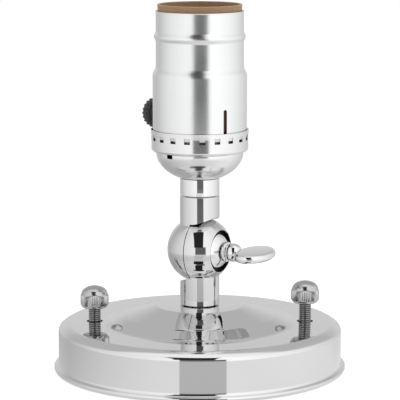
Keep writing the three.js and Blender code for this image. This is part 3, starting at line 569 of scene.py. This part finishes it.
def makeThumbScrew(side):
    t = thumbScrew
    radius, chamfer, knurlTop = t["headRadius"], t["chamfer"], t["chamfer"] + t["knurlHeight"]
    body = radius - t["ribDepth"]
    outline = (
        [(0, 0)]
        + bendPoints((body - chamfer, 0), (body - t["footEdge"], t["footEdge"] / 2), (body, chamfer), 6)
        + [(radius, chamfer + t["ribRunIn"]), (radius, knurlTop - t["ribRunOut"]), (body + 0.04, knurlTop)]
        + arcPoints(0, knurlTop, body, t["domeHeight"], t["domeStart"], 90, 14)
    )
    head = spun(outline, t["ribs"] * 6)
    for v in head.verts:
        reach = v.co.xy.length / mm
        if reach > body + 0.05:
            phase = math.atan2(v.co.y, v.co.x) / math.tau * t["ribs"] % 1
            groove = t["ribDepth"] * (0.5 + 0.5 * math.cos(math.tau * phase))
            v.co.xy *= (reach - groove) / reach
    piece = asObject("thumbScrew" + side, head)
    shank = threadedRod(t["threadRadius"], t["threadDepth"], t["pitch"], t["length"])
    combined(piece, [placed(shank, shift(z=0.2))], "UNION")
    sign = -1 if side == "Left" else 1
    foot = canopy["ringHeight"] + t["raise"][side]
    piece.data.transform(shift(sign * canopy["screwSpacing"] / 2, 0, foot))
    finished(piece, side.lower() + "_screw", "knurledChrome", ["thumb_screw_" + side.lower()])
    # The shank takes the darker thread steel, whose grey is partly painted shade
    partly(piece, "screwSteel", lambda place, facing: place.z < foot - 0.02)


for side in ("Left", "Right"):
    makeThumbScrew(side)
print("thumb screws made")


# Swivel: two half balls on stems, made about the ball's centre with X along the key's axis
swivel = {
    "centreHeight": 47.3,
    "turn": -30,
    "ballRadius": 12.7,
    "stemRadius": 7.7,
    "lowerEnd": -21.6,
    "upperEnd": 21.4,
    "gap": 0.3,
    "stemEdge": 0.25,
    "rimEdge": 0.2,
    "notchGap": 0.55,
    "cavityRadius": 7.6,
    "cavityHalfWidth": 4.2,
    "counterboreRadius": 8.2,
    "counterboreFloor": 7.6,
    "overrun": 3,  # of a cutting tool past what it cuts
    "toolRoom": 0.1,  # the stem is hollowed this much wider than the half ball, whose wall then shows
    "studHole": 2.7,
    "studReach": 9,
    "blindEnd": -9.6,
    "seatDepth": 8,
    "seatRadius": 5.35,
    "passageStart": 1.0,
    "passageRadius": 2.6,
    "passageOffset": 3.7,
}


def alongX(mesh):
    return placed(mesh, turn(90, "Y"))


def inSwivel(piece):
    piece.data.transform(shift(z=swivel["centreHeight"]) @ turn(swivel["turn"]))
    return piece


def makeKnuckle(name, side, stemEnd, node, body):
    s = swivel
    ball, seam, lip, edge = s["ballRadius"], s["gap"] / 2, s["stemEdge"], s["rimEdge"]
    seamAngle = math.degrees(math.asin(seam / ball))
    if side > 0:
        boreAngle = math.degrees(math.acos((s["counterboreRadius"] + edge) / ball))
        rimX = ball * math.sin(math.radians(boreAngle))
        outline = (arcPoints(0, 0, ball, ball, seamAngle, boreAngle, 48)
                   + [(s["counterboreRadius"], rimX - 0.15), (s["counterboreRadius"], s["counterboreFloor"]),
                      (s["studHole"], s["counterboreFloor"]), (s["studHole"], s["cavityHalfWidth"]),
                      (s["cavityRadius"], s["cavityHalfWidth"]), (s["cavityRadius"], seam)])
    else:
        outline = (arcPoints(0, 0, ball, ball, seamAngle, 90, 64)
                   + [(0, -s["blindEnd"]), (s["studHole"], -s["blindEnd"]),
                      (s["studHole"], s["cavityHalfWidth"]), (s["cavityRadius"], s["cavityHalfWidth"]),
                      (s["cavityRadius"], seam)])
    half = alongX(spun(outline, 192))
    if side < 0:
        placed(half, turn(180))
    way = 1 if stemEnd > 0 else -1
    stem = spun([(0, 0), (s["stemRadius"], 0), (s["stemRadius"], stemEnd - way * lip),
                 (s["stemRadius"] - lip, stemEnd), (0, stemEnd)], 160)
    past, room = s["overrun"], s["toolRoom"]
    notch = alongX(rod(ball + s["notchGap"], *sorted((-side * (ball + past), side * seam)), 192))
    depth = s["cavityHalfWidth"] + room
    hollow = alongX(rod(s["cavityRadius"] + room, *sorted((-side * past, side * depth)), 96))
    studRoom = alongX(rod(s["studHole"] + room, -s["studReach"], s["studReach"], 48))
    seatFloor = stemEnd - way * s["seatDepth"]
    seat = rod(s["seatRadius"], *sorted((seatFloor, stemEnd + way * past)), 64)
    passage = placed(rod(s["passageRadius"], *sorted((way * s["passageStart"], seatFloor + way * 0.2)), 48),
                     shift(side * s["passageOffset"]))
    stemPiece = asObject(name, stem)
    combined(stemPiece, [notch, hollow, studRoom], "DIFFERENCE")
    combined(stemPiece, [half], "UNION")
    combined(stemPiece, [seat, passage], "DIFFERENCE")
    finished(stemPiece, body, "castChrome", [node])
    if side > 0:
        rim = math.sqrt(ball ** 2 - s["counterboreRadius"] ** 2) - edge
        # The counterbore's wall and floor are painted nearly black, as painted shade
        partly(stemPiece, "recessShadeCasting", lambda place, facing: s["counterboreFloor"] - 0.1 < place.x < rim
               and place.yz.length < s["counterboreRadius"] + 0.05)
    inSwivel(stemPiece)


makeKnuckle("lowerKnuckle", 1, swivel["lowerEnd"], "lower_knuckle", "base")
makeKnuckle("upperKnuckle", -1, swivel["upperEnd"], "upper_knuckle", "head")
print("swivel made")


# Thumb key with its washer
key = {
    "washerRadius": 6.8,
    "washerRise": 2.2,
    "washerRim": 0.4,
    "washerSheet": 0.8,
    "collarStart": 11.3,
    "collarRadius": 3.9,
    "collarLength": 1.5,
    "collarEdge": 0.3,
    "collarBend": 0.5,
    "studRadius": 2.4,
    "studEnd": -9.3,
    "studChamfer": 0.4,
    "neckRadius": 2.7,
    "hubRadius": 3.6,
    "hubPlace": 15,
    "bladePlace": 24.4,
    "bladeHalfLength": 7.3,
    "bladeHalfWidth": 10.3,
    "bladeThickness": 3.2,
    "bladeRounding": 1.4,
    "bladeTilt": 3,
}


def makeKeyWasher():
    k = key
    foot, hole = swivel["counterboreFloor"] + swivel["gap"], swivel["studHole"]

    def skin(edge, lift):
        points = []
        for i in range(13):
            share = i / 12
            points.append((hole + (edge - hole) * share,
                           foot + k["washerRim"] + lift + k["washerRise"] * (1 - share * share)))
        return points
    outline = ([(k["washerRadius"] - k["washerSheet"], foot), (k["washerRadius"], foot)]
               + skin(k["washerRadius"], k["washerSheet"] / 2)[::-1]
               + skin(k["washerRadius"] - k["washerSheet"], -k["washerSheet"] / 2))
    piece = asObject("keyWasher", alongX(spun(outline, 128)))
    finished(inSwivel(piece), "base", "chrome", ["key_washer"])


def makeThumbKey():
    k = key
    start, reach, hub, collar = k["collarStart"], k["hubPlace"], k["hubRadius"], k["collarRadius"]
    end = start + k["collarLength"]
    meet = math.degrees(math.acos(k["neckRadius"] / hub))
    stud, tip = k["studRadius"], k["studChamfer"]
    outline = ([(0, k["studEnd"]), (stud - tip, k["studEnd"]), (stud, k["studEnd"] + tip), (stud, start)]
               + bendPoints((collar - k["collarEdge"], start), (collar, start),
                            (collar, start + k["collarEdge"]), 4)
               + bendPoints((collar, end - k["collarBend"]), (collar, end), (k["neckRadius"], end), 5)
               + arcPoints(0, reach, hub, hub, -meet, 90, 24))
    piece = asObject("thumbKey", alongX(spun(outline, 96)))
    blade = bmesh.new()
    bmesh.ops.create_circle(blade, cap_ends=True, segments=128, radius=1)
    placed(blade, Matrix.Diagonal((k["bladeHalfLength"] * mm, k["bladeHalfWidth"] * mm, 1, 1)))
    top = bmesh.ops.extrude_face_region(blade, geom=blade.faces[:])
    raised = [v for v in top["geom"] if isinstance(v, bmesh.types.BMVert)]
    bmesh.ops.translate(blade, verts=raised, vec=(0, 0, k["bladeThickness"] * mm))
    bmesh.ops.recalc_face_normals(blade, faces=blade.faces)
    rims = [e for e in blade.edges if e.calc_face_angle() > 1]
    bmesh.ops.bevel(blade, geom=rims, offset=k["bladeRounding"] * mm, affect="EDGES", segments=6, profile=0.5,
                    material=-1)
    placed(blade, shift(x=k["bladePlace"]) @ turn(k["bladeTilt"], "X") @ shift(z=-k["bladeThickness"] / 2))
    combined(piece, [blade], "UNION")
    finished(inSwivel(piece), "key", "chrome", ["thumb_key"])


makeKeyWasher()
makeThumbKey()
print("thumb key made")


# Neck and socket
socket = {
    "neckFoot": 69.0,
    "neckRadius": 7.65,
    "neckLength": 6.55,
    "neckEdge": 0.18,
    "bore": 5.35,
    "capFoot": 75.7,
    "capFootRadius": 7.7,
    "capSheet": 0.5,
    "bowlRadius": 16.95,
    "bowlDepth": 11.55,
    "bandRadius": 18.75,
    "bandShoulder": 1.5,
    "bandHeight": 7.15,
    "bandCrease": 0.25,
    "lipFlare": 0.25,
    "lipBend": 0.2,
    "lipEdge": 0.1,
    "lipHeight": 2.3,
    "tabs": 20,
    "tabWidth": 2.3,
    "tabFoot": 3.3,
    "tabHeight": 2.3,
    "tabSlack": 0.16,
    "tabOpening": 1.0,
    "tabBend": 14,
    "firstTab": -87,
    "squareHole": (2.8, 1.5),
    "squareHoleDrop": 0.7,
    "squareHoleTurn": -133,
    "shellSheet": 0.5,
    "shellRadius": 18.2,
    "shellEntryRadius": 17.45,
    "shellEntry": 6.4,
    "stepBelowLip": 1.2,
    "lowerHeight": 20.86,
    "shoulderHeight": 3.9,
    "upperRadius": 16.95,
    "upperHeight": 21.0,
    "beadPlace": 11.2,
    "beadHeight": 4.3,
    "beadDepth": 0.75,
    "lowerBend": 0.9,
    "upperBend": 1.1,
    "shellFlare": 0.15,
    "flareHeight": 1.2,
    "slitTurn": -57.9,
    "slitWidth": 1.5,
    "slitHeight": 9.1,
    "notchWidth": 7.6,
    "knobTurn": 122,
    "knobHeight": 97.817,
    "linerGap": 0.3,
    "linerSheet": 0.9,
    "linerEdge": 0.15,
    "linerAboveShell": 2.5,
    "linerFlare": 0.2,
}
footShare = socket["capFootRadius"] / socket["bowlRadius"]
bowlTop = socket["capFoot"] + socket["bowlDepth"] * math.sqrt(1 - footShare ** 2)
bandFoot = bowlTop + socket["bandShoulder"]
capTop = bandFoot + socket["bandHeight"]
shoulderFoot = capTop + socket["lowerHeight"]
shoulderTop = shoulderFoot + socket["shoulderHeight"]
shellTop = shoulderTop + socket["upperHeight"]


def makeNeck():
    k = socket
    radius, lip, length = k["neckRadius"], k["neckEdge"], k["neckLength"]
    outline = ([(k["bore"], 0)] + bendPoints((radius - lip, 0), (radius, 0), (radius, lip), 4)
               + bendPoints((radius, length - lip), (radius, length), (radius - lip, length), 4)
               + [(k["bore"], length)])
    piece = asObject("neckCoupling", placed(spun(outline, 160), shift(z=k["neckFoot"])))
    finished(piece, "head", "chrome", ["neck_coupling"])


def makeCap():
    k = socket
    sheet, bowl, depth, band = k["capSheet"], k["bowlRadius"], k["bowlDepth"], k["bandRadius"]
    footAngle = -math.degrees(math.acos(k["capFootRadius"] / bowl))
    innerAngle = -math.degrees(math.asin((bowlTop - k["capFoot"] - sheet) / (depth - sheet)))
    lipFoot, shoulder, lip = capTop - k["lipHeight"], band - bowl, band + k["lipFlare"]
    crease, bend = k["bandCrease"], k["lipBend"]
    outline = (
        [(k["bore"], k["capFoot"])]
        + arcPoints(0, bowlTop, bowl, depth, footAngle, 0, 28)
        + bendPoints((bowl + crease, bowlTop + 0.4 * crease), (band, bowlTop + crease), (band, bandFoot), 10)
        + bendPoints((band, lipFoot - bend), (band, lipFoot), (band + 0.1 * bend, lipFoot + bend), 3)
        + [(lip, capTop - k["lipEdge"]), (lip - k["lipEdge"], capTop), (lip - sheet, capTop),
           (band - sheet, lipFoot)]
        + arcPoints(bowl - sheet, bandFoot, shoulder, k["bandShoulder"] - sheet, 0, -75, 8)
        + arcPoints(0, bowlTop, bowl - sheet, depth - sheet, 0, innerAngle, 28)
        + [(k["bore"], k["capFoot"] + sheet)]
    )
    piece = asObject("socketCap", spun(outline, 240))
    middle = bandFoot + k["tabFoot"] + k["tabHeight"] / 2
    windows = bmesh.new()
    tabs = bmesh.new()
    for i in range(k["tabs"]):
        angle = k["firstTab"] + i * 360 / k["tabs"]
        hole = slab(3, k["tabWidth"], k["tabHeight"], band, 0, middle)
        length = k["tabHeight"] - k["tabOpening"] + 0.1
        tab = slab(sheet * 0.8, k["tabWidth"] - k["tabSlack"], length, 0, 0, 0.1 - length / 2)
        placed(tab, shift(band - sheet / 2, 0, middle + k["tabHeight"] / 2) @ turn(k["tabBend"], "Y"))
        for target, source in ((windows, hole), (tabs, tab)):
            placed(source, turn(angle))
            part = bpy.data.meshes.new("part")
            source.to_mesh(part)
            source.free()
            target.from_mesh(part)
            bpy.data.meshes.remove(part)
    square = placed(slab(4, k["squareHole"][0], k["squareHole"][1], bowl, 0, bowlTop - k["squareHoleDrop"]),
                    turn(k["squareHoleTurn"]))
    combined(piece, [windows, square], "DIFFERENCE")
    combined(piece, [tabs], "UNION")
    finished(piece, "head", "burnishedAluminium", ["socket_cap"])


def shaftNotch(foot):
    k = socket
    hole = alongX(rod(k["notchWidth"] / 2, 0, 24, 48))
    slot = slab(24, k["notchWidth"], k["knobHeight"] - foot + 2, 12, 0, -(k["knobHeight"] - foot + 2) / 2)
    return [placed(mesh, turn(k["knobTurn"]) @ shift(z=k["knobHeight"])) for mesh in (hole, slot)]


def makeShell():
    k = socket
    foot, entry, step = capTop - k["shellEntry"], k["shellEntryRadius"], capTop - k["stepBelowLip"]
    beadCentre, halfBead = shoulderTop + k["beadPlace"], k["beadHeight"] / 2
    lower, upper = k["shellRadius"], k["upperRadius"]

    def skin(inset, entryRadius):
        waist = ((lower + upper) / 2 - inset, (shoulderFoot + shoulderTop) / 2)
        bead = []
        for i in range(17):
            share = i / 8 - 1
            bead.append((upper - inset + k["beadDepth"] * (0.5 + 0.5 * math.cos(math.pi * share)),
                         beadCentre + halfBead * share))
        halfway = ((entryRadius + lower - inset) / 2, step + 0.35)
        return (
            [(entryRadius, foot), (entryRadius, step - 0.3)]
            + bendPoints((entryRadius, step - 0.2), (entryRadius + 0.1, step + 0.25), halfway, 4)
            + bendPoints(halfway, (lower - inset, step + 0.45), (lower - inset, step + 0.9), 4)[1:]
            + bendPoints((lower - inset, shoulderFoot - 0.2), (lower - inset, shoulderFoot + k["lowerBend"]),
                         waist, 8)
            + bendPoints(waist, (upper - inset, shoulderTop - k["upperBend"]),
                         (upper - inset, shoulderTop + 0.3), 8)[1:]
            + bead
            + bendPoints((upper - inset, shellTop - k["flareHeight"]), (upper - inset, shellTop - 0.3),
                         (upper + k["shellFlare"] - inset, shellTop), 5)
        )
    outline = skin(0, entry) + skin(k["shellSheet"], entry - k["shellSheet"])[::-1]
    piece = asObject("socketShell", spun(outline, 240))
    slitTop, slitFoot = capTop + k["slitHeight"] - 0.7, capTop - 7
    slit = [slab(4, k["slitWidth"], slitTop - slitFoot, k["shellRadius"], 0, (slitTop + slitFoot) / 2),
            placed(alongX(rod(k["slitWidth"] / 2, 16, 21, 24)), shift(z=slitTop))]
    for mesh in slit:
        placed(mesh, turn(k["slitTurn"]))
    combined(piece, slit + shaftNotch(foot), "DIFFERENCE")
    finished(piece, "head", "satin_aluminium", ["socket_shell"])
    # Below the step the shell is painted dark grey, as painted shade behind the cap's tabs
    partly(piece, "shadedEntryAluminium", lambda place, facing: place.z < step)


def makeLiner():
    k = socket
    foot = capTop - k["shellEntry"]
    entry, lower, upper = (k[name] - k["shellSheet"] - k["linerGap"]
                           for name in ("shellEntryRadius", "shellRadius", "upperRadius"))
    top = shellTop + k["linerAboveShell"]
    rim, edge = upper + k["linerFlare"], k["linerEdge"]

    def skin(inset):
        return ([(entry - inset, foot), (entry - inset, capTop), (lower - inset, capTop + 0.9),
                 (lower - inset, shoulderFoot - 0.3)]
                + bendPoints((lower - inset, shoulderFoot - 0.2), (upper - inset, shoulderTop - 2.5),
                             (upper - inset, shoulderTop - 0.3), 6)[1:]
                + [(upper - inset, shellTop), (rim - inset, top - edge)])
    outline = (skin(0) + [(rim - edge, top), (rim - k["linerSheet"] + edge, top)]
               + skin(k["linerSheet"])[::-1])
    piece = asObject("insulatingLiner", spun(outline, 192))
    combined(piece, shaftNotch(foot), "DIFFERENCE")
    finished(piece, "head", "tan_fibre", ["insulating_liner"])
    # Below the shell's top the liner is painted dark brown, as painted shade
    partly(piece, "shadedFibre", lambda place, facing: place.z < shellTop - 0.5)
    # The liner's top edge is painted paler, partly a painted highlight
    partly(piece, "cutFibreHighlight", lambda place, facing: place.z > shellTop + 1 and facing.z > 0.5)


makeNeck()
makeCap()
makeShell()
makeLiner()
print("socket made")


# Turn knob
knob = {
    "start": 21.2,
    "end": 34.2,
    "grip": 4.2,
    "radius": 6.25,
    "ribs": 22,
    "ribDepth": 0.5,
    "ribRunIn": 0.25,
    "chamfer": 0.5,
    "neckFoot": 3.3,
    "neckTop": 4.6,
    "bore": 2.2,
    "boreEnd": 32.0,
}


def makeKnob():
    k = knob
    gripFoot, end, radius = k["end"] - k["grip"], k["end"], k["radius"]
    body = radius - k["ribDepth"]
    outline = (
        [(k["bore"], k["start"]), (k["neckFoot"], k["start"]), (k["neckTop"], gripFoot - 0.2),
         (body - k["chamfer"], gripFoot), (body - 0.1, gripFoot + k["chamfer"])]
        + [(radius, gripFoot + k["chamfer"] + k["ribRunIn"]), (radius, end - k["chamfer"] - k["ribRunIn"]),
           (body - 0.1, end - k["chamfer"])]
        + bendPoints((body - 0.1, end - k["chamfer"]), (body - 0.2, end - 0.1),
                     (body - k["chamfer"] - 0.4, end), 5)[1:]
        + [(1.6, end), (0, end - 0.12), (0, k["boreEnd"]), (k["bore"], k["boreEnd"])]
    )
    mesh = spun(outline, k["ribs"] * 8)
    for v in mesh.verts:
        reach = v.co.xy.length / mm
        if reach > body + 0.05:
            phase = math.atan2(v.co.y, v.co.x) / math.tau * k["ribs"] % 1
            groove = k["ribDepth"] * min(1, 1.6 * (0.5 + 0.5 * math.cos(math.tau * phase)))
            v.co.xy *= (reach - groove) / reach
    piece = asObject("turnKnob", alongX(mesh))
    piece.data.transform(shift(z=socket["knobHeight"]) @ turn(socket["knobTurn"]))
    finished(piece, "switch", "black_phenolic", ["turn_knob"])


makeKnob()
print("turn knob made")


# CAD nodes that keep their shape take the finish of their slot
for name, node in frame["nodes"].items():
    entry = next(part for part in frame["record"]["subparts"] if part["node"] == name)
    for place in range(len(node.material_slots)):
        node.material_slots[place].material = finishes[entry["material_slot"]]
print("finishes given to the inner pieces")


# Studio: soft panels all round, and a dark gap behind the camera that polished metal shows as a strip.
# "across" is the angle to the right of the mid-plane, "over" the angle up from the camera and on overhead.
studio = {
    "full": 1.3,  # level of the brightest panel
    "panels": [(-180, 0.62), (-130, 0.56), (-85, 0.88), (-30, 1.1), (30, 1.24), (85, 1.05), (150, 0.66),
               (180, 0.62)],
    "ceiling": [(95, 1.1), (104, 1.0), (112, 0.56), (150, 0.54), (168, 0.7), (180, 0.7)],
    "ceilingEdge": (84, 94),
    "ceilingHalfWidth": (50, 26),  # where it fades to nothing, and where it is full
    "gapAcross": [(-15, 20), (-15, 20), (-19, 11)],
    "gapHeights": [(-60, -9), (-9, 16), (16, 73)],
    "gapLevels": [0.22, 0.15, 0.025],
    "edge": 1.5,
    "floorRadius": 300,  # mm
    "floorHeight": -0.05,
    "floorLift": 0.5,
    "floorFade": (135, 298),  # mm, where the painted shade near the object fades and the floor brightens to the level of the panels
    "floorIor": 1.5,
    # Painted levels of the floor near the object, as metal mirrors it: a painted shade
    "nearFloorShade": [(-180, 0.5), (-130, 0.44), (-90, 0.55), (-30, 0.76), (30, 0.77), (60, 0.88), (90, 0.92),
                    (180, 0.5)],
}


def rampOver(tree, angle, stops):
    # Grey levels between named angles in degrees, as shares of the full level
    start, end = stops[0][0], stops[-1][0]
    place = addNode(tree, "ShaderNodeMapRange", {"Value": angle, "From Min": math.radians(start),
                                                 "From Max": math.radians(end)})
    ramp = addNode(tree, "ShaderNodeValToRGB", {"Fac": place.outputs[0]})
    points = ramp.color_ramp.elements
    while len(points) < len(stops):
        points.new(0.5)
    for point, (degrees, level) in zip(points, stops):
        point.position = (degrees - start) / (end - start)
        point.color = [level / studio["full"]] * 3 + [1]
    return ramp.outputs["Color"]


def inRange(tree, value, start, fullFrom, fullTo, end):
    # One between two angles in degrees, fading to zero outside them
    product = addNode(tree, "ShaderNodeMath", operation="MULTIPLY")
    for place, (outside, inside) in enumerate(((start, fullFrom), (end, fullTo))):
        addNode(tree, "ShaderNodeMapRange", {"Value": value, "From Min": math.radians(outside),
                                             "From Max": math.radians(inside)},
                product.inputs[place], interpolation_type="SMOOTHSTEP")
    return product.outputs[0]


def angleTowards(tree, parts, side):
    # Angle of a place or direction, from the camera's side round towards X, the right, or Z, the top
    forward = addNode(tree, "ShaderNodeMath", {0: parts["Y"], 1: -1.0}, operation="MULTIPLY")
    angle = addNode(tree, "ShaderNodeMath", {0: parts[side], 1: forward.outputs[0]}, operation="ARCTAN2")
    return angle.outputs[0]


def makeWorld():
    world = bpy.data.worlds.new("softStudio")
    world.use_nodes = True
    tree = world.node_tree
    tree.nodes.clear()
    s = studio
    way = addNode(tree, "ShaderNodeTexCoord").outputs["Generated"]
    parts = addNode(tree, "ShaderNodeSeparateXYZ", {"Vector": way}).outputs
    across = addNode(tree, "ShaderNodeMath", {0: parts["X"]}, operation="ARCSINE").outputs[0]
    heading, over = (angleTowards(tree, parts, side) for side in "XZ")
    wide, full = s["ceilingHalfWidth"]
    sideways = inRange(tree, across, -wide, -full, full, wide)
    start, end = (math.radians(angle) for angle in s["ceilingEdge"])
    behind = addNode(tree, "ShaderNodeMapRange", {"Value": over, "From Min": start, "From Max": end},
                     interpolation_type="SMOOTHSTEP")
    overhead = addNode(tree, "ShaderNodeMath", {0: behind.outputs[0], 1: sideways}, operation="MULTIPLY")
    level = addNode(tree, "ShaderNodeMix", {"Factor": overhead.outputs[0],
                                            "A": rampOver(tree, heading, s["panels"]),
                                            "B": rampOver(tree, over, s["ceiling"])}, data_type="RGBA")
    edge = s["edge"]
    for sides, heights, grey in zip(s["gapAcross"], s["gapHeights"], s["gapLevels"]):
        masks = [inRange(tree, value, low - edge, low, high, high + edge)
                 for value, (low, high) in ((across, sides), (over, heights))]
        gap = addNode(tree, "ShaderNodeMath", {0: masks[0], 1: masks[1]}, operation="MULTIPLY")
        level = addNode(tree, "ShaderNodeMix", {"Factor": gap.outputs[0], "A": level.outputs["Result"],
                                                "B": [grey / s["full"]] * 3 + [1]}, data_type="RGBA")
    seen = addNode(tree, "ShaderNodeLightPath").outputs["Is Camera Ray"]
    room = addNode(tree, "ShaderNodeBackground", {"Color": level.outputs["Result"], "Strength": s["full"]})
    plain = addNode(tree, "ShaderNodeBackground", {"Color": (1, 1, 1, 1), "Strength": 1.0})
    mix = addNode(tree, "ShaderNodeMixShader", {0: seen, 1: room.outputs[0], 2: plain.outputs[0]})
    addNode(tree, "ShaderNodeOutputWorld", {"Surface": mix.outputs[0]})
    bpy.context.scene.world = world


def makeFloor():
    # Paper sweep: white to the eye with the object's shadow on it; where metal mirrors it, it glows with
    # painted light, darker near the object as a painted shade
    s = studio
    mesh = bmesh.new()
    bmesh.ops.create_circle(mesh, cap_ends=True, segments=128, radius=s["floorRadius"] * mm)
    floor = asObject("floor", mesh)
    floor.data.transform(shift(z=s["floorHeight"]))
    material = bpy.data.materials.new("paperFloor")
    material.use_nodes = True
    tree = material.node_tree
    tree.nodes.clear()
    where = addNode(tree, "ShaderNodeTexCoord").outputs["Object"]
    heading = angleTowards(tree, addNode(tree, "ShaderNodeSeparateXYZ", {"Vector": where}).outputs, "X")
    distance = addNode(tree, "ShaderNodeVectorMath", {0: where}, operation="LENGTH").outputs["Value"]
    outward = addNode(tree, "ShaderNodeMapRange", {"Value": distance, "From Min": s["floorFade"][0] * mm,
                                                   "From Max": s["floorFade"][1] * mm},
                      interpolation_type="SMOOTHSTEP")
    level = addNode(tree, "ShaderNodeMix", {"Factor": outward.outputs[0],
                                            "A": rampOver(tree, heading, s["nearFloorShade"]),
                                            "B": rampOver(tree, heading, s["panels"])}, data_type="RGBA")
    # For glossy rays the floor glows with these painted levels in place of real lighting
    lit = addNode(tree, "ShaderNodeEmission", {"Color": level.outputs["Result"], "Strength": s["full"]})
    paper = addNode(tree, "ShaderNodeBsdfDiffuse", {"Color": hexToLinear("#f4f4f4")})
    lift = addNode(tree, "ShaderNodeEmission", {"Color": (1, 1, 1, 1), "Strength": s["floorLift"]})
    seenPaper = addNode(tree, "ShaderNodeAddShader", {0: paper.outputs[0], 1: lift.outputs[0]})
    shine = addNode(tree, "ShaderNodeBsdfGlossy", {"Color": (1, 1, 1, 1), "Roughness": 0.05})
    gloss = addNode(tree, "ShaderNodeFresnel", {"IOR": s["floorIor"]}).outputs[0]
    mirrored = addNode(tree, "ShaderNodeMixShader", {0: gloss, 1: lit.outputs[0], 2: shine.outputs[0]})
    rays = addNode(tree, "ShaderNodeLightPath")
    plain = addNode(tree, "ShaderNodeMixShader", {0: rays.outputs["Is Camera Ray"], 1: paper.outputs[0],
                                                  2: seenPaper.outputs[0]})
    whole = addNode(tree, "ShaderNodeMixShader", {0: rays.outputs["Is Glossy Ray"], 1: plain.outputs[0],
                                                  2: mirrored.outputs[0]})
    addNode(tree, "ShaderNodeOutputMaterial", {"Surface": whole.outputs[0]})
    floor.data.materials.append(material)


makeWorld()
makeFloor()
bpy.context.scene.view_settings.view_transform = "Standard"
print("studio lit")
